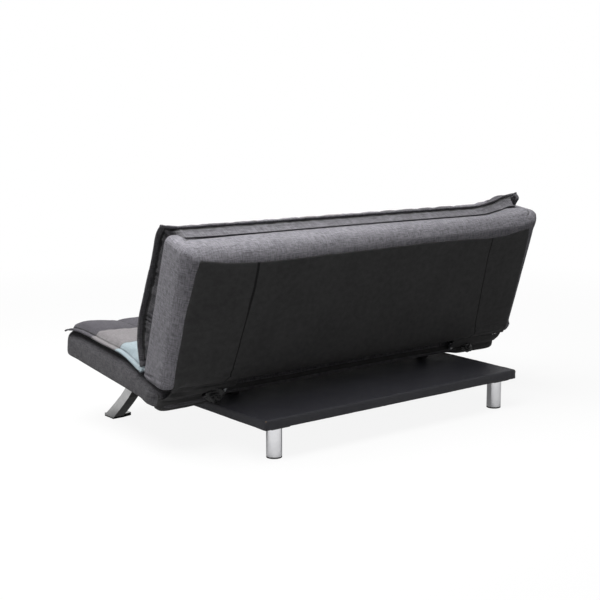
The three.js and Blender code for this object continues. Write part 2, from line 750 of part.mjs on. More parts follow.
const seatMembers = [
  [longTubeX, seatFrontTubeY, seatFrameZ],
  [longTubeX, seatRearTubeY, seatFrameZ],
  ...seatSlatPlaces.map((place) => slatLimits(place, seatSlatY, frameTopOfSeat)),
];
const backMembers = [
  [longTubeX, backLowTubeY, backFrameZ],
  [longTubeX, backHighTubeY, backFrameZ],
  ...backSlatPlaces.map((place) => slatLimits(place, backSlatY, frameTopOfBack)),
];
const seatCross = [seatCrossX, seatCrossY, seatFrameZ];
const backCross = [backCrossX, backCrossY, backFrameZ];

function buildFrame(group, stem, [firstTube, secondTube, ...slats], cross, tubeNames) {
  [firstTube, secondTube].forEach((limits, count) => {
    const tube = rectangularTube(limits, frameWall, 0);
    add(group, `${stem}_frame_${tubeNames[count]}_tube`, tube, paintedSteel);
  });
  const crossTube = rectangularTube(cross, frameWall, 1);
  addPair(group, `${stem}_frame_cross_tube`, crossTube, paintedSteel);
  slats.forEach((limits, count) => {
    add(group, `${stem}_slat_${count + 1}`, block(...limits), timber);
  });
}

// Click clack hinge: two arms on one pin, a ratchet wheel on the back arm, a pawl on the seat arm
const hingeCentre = [0, 0];
const pawlCentre = [-pawlPinFromHinge, pawlPinAbove];

function ratchetOutline() {
  const outline = [];
  for (let tooth = 0; tooth < ratchetTeeth; tooth += 1) {
    const angle = (2 * Math.PI * tooth) / ratchetTeeth;
    for (const radius of [ratchetTipRadius - ratchetToothDepth, ratchetTipRadius])
      outline.push([radius * Math.cos(angle), radius * Math.sin(angle)]);
  }
  return outline;
}

function pawlOutline() {
  const noseRadius = ratchetTipRadius + pawlNoseLift;
  const noseAngle = Math.PI - Math.atan2(pawlPinAbove, pawlPinFromHinge);
  const nosePoint = (radius, angle) => [radius * Math.cos(angle), radius * Math.sin(angle)];
  const halfNose = pawlNoseDepth / noseRadius;
  return [
    nosePoint(noseRadius, noseAngle),
    nosePoint(noseRadius + pawlNoseDepth, noseAngle - halfNose),
    ...arc(pawlCentre, pawlBossRadius, Math.PI / 2, 1.5 * Math.PI, arcSteps),
    nosePoint(noseRadius + pawlNoseDepth, noseAngle + halfNose),
  ];
}

function seatArmOutline() {
  const overTube = frameTopOfSeat + contactGap;
  const behindStep = seatRearTubeY[0] - contactGap - hingeSlotMargin;
  const eyeStart = Math.PI - Math.asin(overTube / hingeEyeRadius);
  return [
    [-seatArmReach, frameBottomOfSeat],
    [behindStep, frameBottomOfSeat],
    [behindStep, overTube],
    ...arc(hingeCentre, hingeEyeRadius, eyeStart, 2.5 * Math.PI, arcSteps),
    [-pawlPinFromHinge - pawlBossRadius, seatArmRise],
    [-seatArmReach, frameTopOfSeat],
  ];
}

function backArmOutline() {
  const overTube = frameTopOfBack + contactGap;
  const beyondStep = backLowTubeY[1] + contactGap + hingeSlotMargin;
  return [
    ...arc(hingeCentre, hingeEyeRadius, Math.PI / 3, (4 * Math.PI) / 3, arcSteps),
    [backLowTubeY[0], overTube],
    [beyondStep, overTube],
    [beyondStep, frameBottomOfBack],
    [backArmReach, frameBottomOfBack],
    [backArmReach, frameTopOfBack],
  ];
}

function buildHinges() {
  const bore = (radius, centre) =>
    rodAlongX(radius + contactGap, grow(hingePinX, overrun), centre);
  const pinBore = bore(hingePinRadius, hingeCentre);
  const pawlBore = bore(pawlPinRadius, pawlCentre);
  const seatArm = cut(plate(seatArmOutline(), seatArmX), [pinBore, pawlBore]);
  addPair(seat, "hinge_seat_arm", seatArm, zincSteel);
  addPair(seat, "hinge_pawl", cut(plate(pawlOutline(), ratchetX), [pawlBore]), zincSteel);
  const backArm = cut(plate(backArmOutline(), backArmX), [pinBore]);
  addPair(back, "hinge_back_arm", backArm, zincSteel);
  addPair(back, "hinge_ratchet", cut(plate(ratchetOutline(), ratchetX), [pinBore]), zincSteel);
  const [pinStart, pinEnd] = hingePinX;
  const pin = join([
    rodAlongX(hingePinHeadRadius, [pinStart, pinStart + hingePinHeadHeight], hingeCentre),
    rodAlongX(hingePinRadius, grow(hingePinX, -hingePinHeadHeight / 2), hingeCentre),
    rodAlongX(hingePinHeadRadius, [pinEnd - hingePinHeadHeight, pinEnd], hingeCentre),
  ]);
  addPair(seat, "hinge_pin", pin, zincSteel);
}

// Stops: their tops lie against the underside of the tilted seat
function buildSeatStops() {
  const underside = -seatSlabBelow - coverDrop - contactGap;
  const middle = (seatRearTubeY[0] + seatRearTubeY[1]) / 2;
  const [front, rear] = grow([middle, middle], seatStopDepth / 2).map((y) =>
    new THREE.Vector3(0, y, underside).applyEuler(seat.rotation).add(hingePlace),
  );
  const foot = plinthTop + contactGap;
  const outline = [
    [front.y, foot],
    [rear.y, foot],
    [rear.y, rear.z],
    [front.y, front.z],
  ];
  const stopX = grow([seatStopFromMiddle, seatStopFromMiddle], seatStopWidth / 2);
  addPair(base, "seat_stop", plate(outline, stopX), rubber);
}

// Foam pads in their woven covers, let in for the frame and slotted for the hinges
function grooveFor([x, y, z], slabBottom) {
  const depth = [slabBottom - overrun, z[1] + contactGap];
  return block(grow(x, contactGap), grow(y, contactGap), depth);
}

function bothSides([x, y, z]) {
  return [[x, y, z], [[-x[1], -x[0]], y, z]];
}

function buildPads() {
  const slotX = grow(hingePinX, hingeSlotMargin);
  const eye = hingeEyeRadius + hingeSlotMargin;
  const lugY = grow([-seatPivotToHinge, -seatPivotToHinge], pivotLugTopDepth / 2);
  const seatBottom = -seatSlabBelow;
  const seatLet = [
    ...seatMembers,
    ...bothSides(seatCross),
    ...bothSides([lugX, lugY, seatFrameZ]),
    ...bothSides([slotX, [-seatArmReach - hingeSlotMargin, 0], [0, seatArmRise]]),
    ...bothSides([slotX, [-eye, seatSlabRear + overrun], [0, seatSlabAbove + overrun]]),
  ];
  const seatTop = slabFace(
    seatDepthLimits,
    seatCorners,
    seatTopEdge,
    (x, y, fall) => seatTopAt(x, y) - seatTopEdge * fall,
  );
  const seatUnder = slabFace(
    seatDepthLimits,
    seatCorners,
    seatBottomEdge,
    (x, y, fall) => seatBottom + seatBottomEdge * fall,
  );
  const seatPad = closedPad(slabColumnCount, slabRowCount, seatTop, seatUnder);
  const seatGrooves = seatLet.map((limits) => grooveFor(limits, seatBottom));
  add(seat, "seat_pad", cut(seatPad, seatGrooves), darkWeave);

  const backBottom = -backSlabBelow;
  const backLet = [
    ...backMembers,
    ...bothSides(backCross),
    ...bothSides([slotX, [backSlabStart - overrun, backArmReach], [0, eye]]),
  ];
  const backFront = slabFace(
    backDepthLimits,
    backCorners,
    backFrontEdge,
    (x, y, fall) => backTopAt(x, y) - backFrontEdge * fall,
  );
  const backRear = slabFace(
    backDepthLimits,
    backCorners,
    backRearEdge,
    (x, y, fall) => backRearAt(x) + backRearEdgeRise * fall,
  );
  const backPad = closedPad(slabColumnCount, slabRowCount, backFront, backRear);
  const backGrooves = backLet.map((limits) => grooveFor(limits, backBottom));
  add(back, "back_pad", cut(backPad, backGrooves), greyWeave);

  const slotZ = grow([seatBottom - coverDrop, seatBottom], overrun);
  const lugSlots = bothSides([lugX, lugY, slotZ]).map(([x, y, z]) =>
    block(grow(x, hingeSlotMargin), grow(y, hingeSlotMargin), z),
  );
  add(seat, "seat_dust_cover", cut(coverUnder(seatUnder), lugSlots), blackCloth);
  add(back, "back_rear_cover", coverUnder(backRear), blackCloth);
}

// Spines of the toppers, from front to rear of the opened bed: [share along, share of the rise]
const seatSpineShares = [
  [0, -0.08],
  [0.06, 0.16],
  [0.16, 0.34],
  [0.48, 0.46],
  [0.65, 0.65],
  [0.74, 0.58],
  [0.86, 0.31],
  [0.94, 0.13],
  [1, 0.07],
];
const backSpineShares = [
  [0, 0.13],
  [0.085, 0.57],
  [0.156, 0.84],
  [0.3, 1.02],
  [0.44, 0.92],
  [0.58, 0.81],
  [0.71, 0.67],
  [0.83, 0.62],
  [0.89, 0.61],
  [0.95, 0.44],
  [1, 0.06],
];

function buildToppers() {
  const seatTopper = topper({
    spineShares: seatSpineShares,
    start: -seatTopperFront,
    end: -seatTopperRear,
    drawIns: [seatTopperFrontDrawIn, seatTopperRearDrawIn],
    base: seatSlabAbove,
    rise: seatTopperRise,
    loft: seatTopperLoft,
    under: seatTopperUnder,
    restsOn: supportAt(seatTopAt, seatDepthLimits),
  });
  add(seat, "seat_topper", seatTopper, greyWeave);
  const backTopper = topper({
    spineShares: backSpineShares,
    start: backTopperStart,
    end: backTopperEnd,
    drawIns: [backTopperLowDrawIn, backTopperHighDrawIn],
    base: backSlabAbove,
    rise: backTopperRise,
    loft: backTopperLoft,
    under: backTopperUnder,
    restsOn: supportAt(backTopAt, backDepthLimits),
  });
  add(back, "back_topper", backTopper, darkWeave);
}

buildPlinth();
buildRearLegs();
buildFront();
buildSeatPivots();
buildSeatStops();
buildFrame(seat, "seat", seatMembers, seatCross, ["front", "rear"]);
buildFrame(back, "back", backMembers, backCross, ["lower", "upper"]);
buildHinges();
buildPads();
buildToppers();

// The origin is on the floor under the middle of the sofa
const bounds = new THREE.Box3().setFromObject(sofaBed, true);
const middleY = (bounds.min.y + bounds.max.y) / 2;
for (const group of [base, seat, back]) group.position.y -= middleY;

export default sofaBed;
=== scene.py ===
import json
import math

import bmesh
import bpy
import numpy as np
from mathutils import Matrix, Vector, noise
from mathutils.bvhtree import BVHTree


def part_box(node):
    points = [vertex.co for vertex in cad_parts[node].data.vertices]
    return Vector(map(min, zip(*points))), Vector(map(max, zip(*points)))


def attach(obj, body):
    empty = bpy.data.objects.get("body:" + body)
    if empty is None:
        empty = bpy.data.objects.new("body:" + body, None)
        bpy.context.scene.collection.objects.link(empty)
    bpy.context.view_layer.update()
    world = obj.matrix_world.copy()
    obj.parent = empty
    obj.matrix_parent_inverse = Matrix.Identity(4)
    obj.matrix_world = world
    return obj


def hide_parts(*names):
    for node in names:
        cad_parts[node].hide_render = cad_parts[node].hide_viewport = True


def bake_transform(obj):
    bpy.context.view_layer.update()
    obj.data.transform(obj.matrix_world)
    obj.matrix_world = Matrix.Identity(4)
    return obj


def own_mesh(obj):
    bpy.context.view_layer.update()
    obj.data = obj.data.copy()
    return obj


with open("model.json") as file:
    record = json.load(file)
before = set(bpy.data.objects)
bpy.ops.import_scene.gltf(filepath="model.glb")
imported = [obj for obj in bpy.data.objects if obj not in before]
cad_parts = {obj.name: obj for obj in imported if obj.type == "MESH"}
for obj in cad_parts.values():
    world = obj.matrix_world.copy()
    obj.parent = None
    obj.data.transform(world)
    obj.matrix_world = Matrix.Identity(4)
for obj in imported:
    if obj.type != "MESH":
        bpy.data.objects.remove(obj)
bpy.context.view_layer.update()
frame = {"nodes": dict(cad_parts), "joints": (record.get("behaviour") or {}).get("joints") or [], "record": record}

nodes = frame["nodes"]
joints = {joint["name"]: joint for joint in frame["joints"]}
mm = 0.001
print("frame loaded,", len(nodes), "nodes")

# The seat and the back each have a frame of their own: its origin is on the fold hinge,
# Y runs to the rear of the opened bed and Z up, as in the CAD
stance = {"seatTilt": 7.2, "backRecline": 17}
hingePlace = Vector(joints["back_fold"]["pos_m"])
seatTurn = Matrix.Translation(hingePlace) @ Matrix.Rotation(math.radians(-stance["seatTilt"]), 4, "X")
backAngle = math.radians(90 - stance["backRecline"])
backTurn = Matrix.Translation(hingePlace) @ Matrix.Rotation(backAngle, 4, "X")
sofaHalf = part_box("seat_topper")[1].x
slabHalf = sofaHalf - 5 * mm


# Camera, as the photo was taken
cameraLook = {
    "place": (3.7312, 4.5781, 1.5633),
    "backwards": (0.6102, 0.7717, 0.1791),  # from the sofa towards the camera
    "lens": 81.69,
    "sensor": 36,
}


def makeCamera():
    data = bpy.data.cameras.new("photoCamera")
    data.lens = cameraLook["lens"]
    data.sensor_width = cameraLook["sensor"]
    camera = bpy.data.objects.new("photoCamera", data)
    bpy.context.scene.collection.objects.link(camera)
    camera.location = cameraLook["place"]
    camera.rotation_mode = "QUATERNION"
    camera.rotation_quaternion = (-Vector(cameraLook["backwards"])).to_track_quat("-Z", "Y")
    bpy.context.scene.camera = camera


makeCamera()
print("camera set")


# Nodes for materials
def place(tree, kind, inputs=None, **settings):
    made = tree.nodes.new("ShaderNode" + kind)
    for name, value in settings.items():
        setattr(made, name, value)
    for name, value in (inputs or {}).items():
        if isinstance(value, bpy.types.NodeSocket):
            tree.links.new(value, made.inputs[name])
        else:
            made.inputs[name].default_value = value
    return made


def calc(tree, operation, *values, clamp=False):
    made = place(tree, "Math", dict(enumerate(values)), operation=operation, use_clamp=clamp)
    return made.outputs[0]


# One value times its share, plus another times its own
def weighed(tree, first, firstShare, second, secondShare, clamp=False):
    rest = calc(tree, "MULTIPLY", second, secondShare)
    return calc(tree, "MULTIPLY_ADD", first, firstShare, rest, clamp=clamp)


def mixed(tree, share, first, second):
    return place(tree, "Mix", {0: share, 2: first, 3: second}, data_type="FLOAT").outputs[0]


def blendColors(tree, share, first, second):
    made = tree.nodes.new("ShaderNodeMix")
    made.data_type = "RGBA"
    for socket, value in ((made.inputs[0], share), (made.inputs[6], first), (made.inputs[7], second)):
        if isinstance(value, bpy.types.NodeSocket):
            tree.links.new(value, socket)
        else:
            socket.default_value = value
    return made.outputs[2]


def rescale(tree, value, low, high, newLow=0.0, newHigh=1.0):
    made = place(tree, "MapRange", {"Value": value, "From Min": low, "From Max": high,
                                    "To Min": newLow, "To Max": newHigh})
    return made.outputs[0]


def timesEach(tree, vector, other):
    return place(tree, "VectorMath", {0: vector, 1: other}, operation="MULTIPLY").outputs[0]


def stretched(tree, vector, scale, turn=(0, 0, 0)):
    made = place(tree, "Mapping", {"Vector": vector, "Rotation": turn, "Scale": scale})
    return made.outputs[0]


def noiseAt(tree, vector, scale=1.0, detail=2.0, roughness=0.5):
    made = place(tree, "TexNoise", {"Vector": vector, "Scale": scale, "Detail": detail,
                                    "Roughness": roughness})
    return made.outputs["Fac"]


def newGroup(name, inputs, outputs):
    tree = bpy.data.node_groups.new(name, "ShaderNodeTree")
    for label, kind, value in inputs:
        socket = tree.interface.new_socket(label, in_out="INPUT", socket_type="NodeSocket" + kind)
        if value is not None:
            socket.default_value = value
    for label, kind in outputs:
        tree.interface.new_socket(label, in_out="OUTPUT", socket_type="NodeSocket" + kind)
    return tree, tree.nodes.new("NodeGroupInput").outputs, tree.nodes.new("NodeGroupOutput").inputs


def putOut(tree, sockets, **values):
    for label, value in values.items():
        tree.links.new(value, sockets[label])


# A surface group takes a place and two tones, and gives a color, a height and a roughness
def newSurface(name, others):
    grey = (0.5, 0.5, 0.5, 1)
    inputs = [("Vector", "Vector", None), ("Light", "Color", grey), ("Dark", "Color", grey), *others]
    return newGroup(name, inputs, [("Color", "Color"), ("Height", "Float"), ("Roughness", "Float")])


# Plain weave in melange yarn: threads cross over and under, each with tones along its length
def makeWovenYarn():
    tree, given, result = newSurface("wovenYarn", [("Threads", "Float", 700.0), ("Slub", "Float", 0.5)])
    threads = place(tree, "VectorMath", {0: given["Vector"], "Scale": given["Threads"]}, operation="SCALE")
    parts = place(tree, "SeparateXYZ", {0: threads.outputs[0]}).outputs
    warp = calc(tree, "FLOOR", parts["X"])
    weft = calc(tree, "FLOOR", parts["Y"])
    over = calc(tree, "FLOORED_MODULO", calc(tree, "ADD", warp, weft), 2.0)
    warpRound = calc(tree, "SINE", calc(tree, "MULTIPLY", calc(tree, "FRACT", parts["X"]), math.pi))
    weftRound = calc(tree, "SINE", calc(tree, "MULTIPLY", calc(tree, "FRACT", parts["Y"]), math.pi))
    warpHeight = calc(tree, "MULTIPLY", warpRound, calc(tree, "MULTIPLY_ADD", weftRound, 0.5, 0.5))
    weftHeight = calc(tree, "MULTIPLY", weftRound, calc(tree, "MULTIPLY_ADD", warpRound, 0.5, 0.5))
    height = mixed(tree, over, warpHeight, weftHeight)
    warpPlace = place(tree, "CombineXYZ", {"X": calc(tree, "MULTIPLY", warp, 1.7),
                                           "Y": calc(tree, "MULTIPLY", parts["Y"], 0.05)}).outputs[0]
    weftPlace = place(tree, "CombineXYZ", {"X": calc(tree, "MULTIPLY", parts["X"], 0.05),
                                           "Y": calc(tree, "MULTIPLY", weft, 1.7), "Z": 9.0}).outputs[0]
    tone = mixed(tree, over, noiseAt(tree, warpPlace), noiseAt(tree, weftPlace))
    acrossStreak = noiseAt(tree, stretched(tree, given["Vector"], (260, 34, 1)), detail=3.0)
    alongStreak = noiseAt(tree, stretched(tree, given["Vector"], (34, 260, 1)), detail=3.0)
    streak = calc(tree, "SUBTRACT", calc(tree, "ADD", acrossStreak, alongStreak), 1.0)
    cloud = calc(tree, "SUBTRACT", noiseAt(tree, given["Vector"], 9.0, 2.0), 0.5)
    mottle = calc(tree, "MULTIPLY", cloud, 0.25)
    whole = calc(tree, "MULTIPLY_ADD", calc(tree, "ADD", streak, mottle), given["Slub"], tone)
    color = blendColors(tree, rescale(tree, whole, 0.25, 0.75), given["Dark"], given["Light"])
    # The colour is darkened where the threads dip under one another: painted shade between the threads
    shade = rescale(tree, height, 0.0, 0.8, 0.72, 1.04)
    shaded = place(tree, "VectorMath", {0: color, "Scale": shade}, operation="SCALE").outputs[0]
    fibre = noiseAt(tree, given["Vector"], 2600.0, 2.0)
    slubHeight = calc(tree, "ADD", height, weighed(tree, fibre, 0.5, streak, 0.8))
    rough = rescale(tree, tone, 0.3, 0.7, 0.97, 0.84)
    putOut(tree, result, Color=shaded, Height=slubHeight, Roughness=rough)
    return tree


# Spun-bonded cloth: pressed fibres with a grid of small bonded dots
def makeSpunCloth():
    others = [("Dots", "Float", 420.0), ("Smooth", "Float", 0.72), ("Rough", "Float", 0.9)]
    tree, given, result = newSurface("spunCloth", others)
    dots = place(tree, "TexVoronoi", {"Vector": given["Vector"], "Scale": given["Dots"],
                                      "Randomness": 0.25}).outputs["Distance"]
    pressed = rescale(tree, dots, 0.15, 0.4)
    fibres = noiseAt(tree, stretched(tree, given["Vector"], (900, 300, 900), (0, 0, 0.6)), detail=4.0)
    blotch = noiseAt(tree, given["Vector"], 38.0, 4.0, 0.6)
    broad = noiseAt(tree, given["Vector"], 5.0, 2.0)
    tone = weighed(tree, blotch, 0.6, broad, 0.4)
    color = blendColors(tree, rescale(tree, tone, 0.36, 0.64), given["Dark"], given["Light"])
    height = weighed(tree, pressed, 0.6, fibres, 0.6)
    rough = rescale(tree, fibres, 0.3, 0.7, given["Smooth"], given["Rough"])
    putOut(tree, result, Color=color, Height=height, Roughness=rough)
    return tree


# Coated cloth with a pebbled grain and finer creases between the pebbles; the colour is darker in the creases and
# lighter on the pebbles
def makePebbleGrain():
    tree, given, result = newSurface("pebbleGrain", [("Grain", "Float", 620.0)])
    pebbles = place(tree, "TexVoronoi", {"Vector": given["Vector"], "Scale": given["Grain"]},
                    feature="DISTANCE_TO_EDGE").outputs["Distance"]
    crease = rescale(tree, pebbles, 0.0, 0.16)
    wide = noiseAt(tree, given["Vector"], 16.0, 3.0)
    cloud = noiseAt(tree, given["Vector"], 3.5, 3.0, 0.6)
    tone = weighed(tree, crease, 0.35, cloud, 0.65)
    color = blendColors(tree, rescale(tree, tone, 0.35, 0.85), given["Dark"], given["Light"])
    height = calc(tree, "ADD", crease, calc(tree, "MULTIPLY", wide, 1.6))
    putOut(tree, result, Color=color, Height=height, Roughness=rescale(tree, cloud, 0.3, 0.7, 0.42, 0.58))
    return tree


# Metal with drawn lines along one way, and faint handling marks
def makeDrawnMetal():
    others = [("Lines", "Vector", (60, 60, 900)), ("Smooth", "Float", 0.1), ("Rough", "Float", 0.2)]
    tree, given, result = newSurface("drawnMetal", others)
    lines = noiseAt(tree, timesEach(tree, given["Vector"], given["Lines"]), 1.0, 3.0)
    marks = noiseAt(tree, given["Vector"], 22.0, 5.0, 0.65)
    color = blendColors(tree, rescale(tree, marks, 0.3, 0.7), given["Dark"], given["Light"])
    smudge = weighed(tree, lines, 0.4, marks, 0.6)
    rough = mixed(tree, rescale(tree, smudge, 0.35, 0.65), given["Smooth"], given["Rough"])
    putOut(tree, result, Color=color, Height=lines, Roughness=rough)
    return tree


# Sawn timber: long bands, fine pores along the grain
def makeTimberGrain():
    tree, given, result = newSurface("timberGrain", [("Along", "Vector", (1, 1, 1))])
    scaled = timesEach(tree, given["Vector"], given["Along"])
    warped = noiseAt(tree, scaled, 3.0, 2.0)
    bands = place(tree, "TexWave", {"Vector": scaled, "Scale": 9.0, "Distortion": 6.0, "Detail": 3.0,
                                    "Detail Scale": 1.2}, wave_type="RINGS").outputs["Fac"]
    pores = noiseAt(tree, scaled, 70.0, 3.0)
    tone = weighed(tree, bands, 0.55, warped, 0.45)
    color = blendColors(tree, tone, given["Light"], given["Dark"])
    poreColor = blendColors(tree, rescale(tree, pores, 0.52, 0.62), color, given["Dark"])
    putOut(tree, result, Color=poreColor, Height=calc(tree, "SUBTRACT", bands, pores),
           Roughness=rescale(tree, pores, 0.3, 0.7, 0.62, 0.8))
    return tree


# Moulded or sprayed surface: a fine skin, and a tone that varies a little
def makeFineSkin():
    others = [("Grain", "Float", 900.0), ("Smooth", "Float", 0.4), ("Rough", "Float", 0.6)]
    tree, given, result = newSurface("fineSkin", others)
    skin = noiseAt(tree, given["Vector"], given["Grain"], 2.0)
    dust = noiseAt(tree, given["Vector"], 30.0, 5.0, 0.65)
    color = blendColors(tree, rescale(tree, dust, 0.35, 0.7), given["Dark"], given["Light"])
    rough = mixed(tree, rescale(tree, dust, 0.3, 0.7), given["Smooth"], given["Rough"])
    putOut(tree, result, Color=color, Height=skin, Roughness=rough)
    return tree


# Seams: a groove along each seam line and a row of stitches on both sides of it
def makeSewnLines():
    tree, given, result = newGroup(
        "sewnLines",
        [("Seams", "Vector", None), ("Place", "Vector", None), ("Width", "Float", 0.002),
         ("Hem", "Float", 0.0), ("Beside", "Float", 0.004), ("Pitch", "Float", 0.005)],
        [("Groove", "Float"), ("Stitch", "Float")],
    )
    toSeam = place(tree, "SeparateXYZ", {0: given["Seams"]}).outputs
    at = place(tree, "SeparateXYZ", {0: given["Place"]}).outputs
    first = calc(tree, "ABSOLUTE", toSeam["X"])
    second = calc(tree, "ABSOLUTE", toSeam["Y"])
    rim = calc(tree, "ABSOLUTE", calc(tree, "SUBTRACT", toSeam["Z"], given["Hem"]))
    nearest = calc(tree, "MINIMUM", first, calc(tree, "MINIMUM", second, rim))
    groove = rescale(tree, nearest, calc(tree, "MULTIPLY", given["Width"], 0.4), given["Width"], 1.0, 0.0)
    alongRim = calc(tree, "ADD", at["X"], at["Y"])
    rows = []
    for distance, along in ((first, at["Y"]), (second, at["X"]), (rim, alongRim)):
        beside = calc(tree, "ABSOLUTE", calc(tree, "SUBTRACT", distance, given["Beside"]))
        row = rescale(tree, beside, 0.0004, 0.0008, 1.0, 0.0)
        step = calc(tree, "FRACT", calc(tree, "DIVIDE", along, given["Pitch"]))
        rows.append(calc(tree, "MULTIPLY", row, calc(tree, "GREATER_THAN", step, 0.25)))
    stitch = calc(tree, "MAXIMUM", rows[0], calc(tree, "MAXIMUM", rows[1], rows[2]))
    putOut(tree, result, Groove=groove, Stitch=stitch)
    return tree


surfaceGroups = {
    "sewnLines": makeSewnLines(),
    "wovenYarn": makeWovenYarn(),
    "spunCloth": makeSpunCloth(),
    "pebbleGrain": makePebbleGrain(),
    "drawnMetal": makeDrawnMetal(),
    "timberGrain": makeTimberGrain(),
    "fineSkin": makeFineSkin(),
}


# Finishes: the group that draws each, its values, its relief in metres and the shader's own values
def weaveFinish(light, dark, thread, threads, slub, relief, seam=0.002, sheen=0.1):
    return {
        "group": "wovenYarn", "uv": True, "sewn": {"Width": seam}, "threadColor": thread, "relief": relief,
        "values": {"Threads": threads, "Light": light, "Dark": dark, "Slub": slub},
        "shader": {"Specular IOR Level": 0.12, "Sheen Weight": sheen, "Sheen Roughness": 0.5},
    }


def melangeFinish(light, dark, thread, **others):
    return weaveFinish(light, dark, thread, threads=620, slub=1.05, relief=0.0006, **others)


def patchFinish(light, dark, thread):
    return weaveFinish(light, dark, thread, threads=700, slub=0.45, relief=0.0005)


def metalFinish(light, dark, smooth, rough, relief=0.00002):
    return {
        "group": "drawnMetal", "relief": relief, "shader": {"Metallic": 1.0},
        "values": {"Light": light, "Dark": dark, "Smooth": smooth, "Rough": rough},
    }


def skinFinish(grain, light, dark, smooth, rough, relief, specular=0.5):
    return {
        "group": "fineSkin", "relief": relief, "shader": {"Specular IOR Level": specular},
        "values": {"Grain": grain, "Light": light, "Dark": dark, "Smooth": smooth, "Rough": rough},
    }


def clothFinish(light, dark, shader, seam=0.002, **others):
    return {
        "group": "spunCloth", "uv": True, "sewn": {"Width": seam, "Hem": -1.0},
        "threadColor": (0.002, 0.002, 0.002, 1), "relief": 0.0003, "shader": shader,
        "values": {"Dots": 420, "Light": light, "Dark": dark, **others},
    }


finishes = {
    "greyWeave": melangeFinish((0.36, 0.35, 0.385, 1), (0.165, 0.16, 0.178, 1), (0.09, 0.09, 0.09, 1),
                               seam=0.0024, sheen=0.12),
    # the grey weave darkened: painted shade for the back topper's underside and flanges
    "greyWeavePaintedShade": melangeFinish((0.24, 0.234, 0.256, 1), (0.112, 0.109, 0.12, 1), (0.1, 0.1, 0.1, 1),
                                 seam=0.0016),
    "darkWeave": melangeFinish((0.184, 0.179, 0.192, 1), (0.085, 0.083, 0.09, 1), (0.02, 0.02, 0.02, 1)),
    "charcoalPatch": patchFinish((0.13, 0.125, 0.14, 1), (0.075, 0.07, 0.082, 1), (0.015, 0.015, 0.015, 1)),
    "taupePatch": patchFinish((0.328, 0.31, 0.318, 1), (0.213, 0.202, 0.207, 1), (0.17, 0.165, 0.165, 1)),
    "bluePatch": patchFinish((0.47, 0.555, 0.585, 1), (0.336, 0.41, 0.45, 1), (0.22, 0.25, 0.27, 1)),
    "blackCloth": clothFinish(
        (0.071, 0.0705, 0.071, 1), (0.0495, 0.049, 0.0495, 1), seam=0.0085,
        shader={"Specular IOR Level": 0.12, "Sheen Weight": 0.02, "Sheen Roughness": 0.4},
    ),
    "blackGloss": clothFinish(
        (0.022, 0.022, 0.023, 1), (0.012, 0.012, 0.0125, 1),
        shader={"Specular IOR Level": 0.3}, Smooth=0.34, Rough=0.5,
    ),
    "leatherette": {
        "group": "pebbleGrain", "relief": 0.0003, "shader": {"Specular IOR Level": 0.25},
        "values": {"Grain": 620, "Light": (0.028, 0.028, 0.034, 1), "Dark": (0.017, 0.017, 0.022, 1)},
    },
    "chrome": metalFinish((0.66, 0.66, 0.67, 1), (0.56, 0.56, 0.58, 1), 0.06, 0.16),
    "legChrome": metalFinish((0.325, 0.325, 0.325, 1), (0.25, 0.25, 0.25, 1), 0.08, 0.2),
    # painted reflection: a dark chrome for the legs' rear faces, standing in for the shaded floor and the seat's
    # underside
    "legChromePaintedReflection": metalFinish((0.028, 0.028, 0.026, 1), (0.013, 0.013, 0.012, 1), 0.12, 0.25),
    "zincSteel": metalFinish((0.56, 0.57, 0.58, 1), (0.38, 0.39, 0.41, 1), 0.28, 0.46, relief=0.00005),
    "paintedSteel": skinFinish(700, (0.03, 0.03, 0.032, 1), (0.015, 0.015, 0.017, 1), 0.38, 0.52,
                               relief=0.0001),
    "plastic": skinFinish(1400, (0.024, 0.024, 0.024, 1), (0.011, 0.011, 0.011, 1), 0.42, 0.6,
                          relief=0.00005, specular=0.4),
    "rubber": skinFinish(1000, (0.035, 0.034, 0.033, 1), (0.016, 0.016, 0.016, 1), 0.72, 0.9,
                         relief=0.0001, specular=0.25),
    "timber": {
        "group": "timberGrain", "relief": 0.0002, "shader": {"Specular IOR Level": 0.3},
        "values": {"Along": (0.12, 1, 1), "Light": (0.56, 0.38, 0.2, 1), "Dark": (0.32, 0.19, 0.085, 1)},
    },
}
# how far the seam groove is darkened, as painted shade; how far the stitches take the thread's colour; how deep
# the groove is pressed
seamLook = {"paintedGrooveShade": 0.85, "stitchShade": 0.3, "grooveDepth": -3.0}


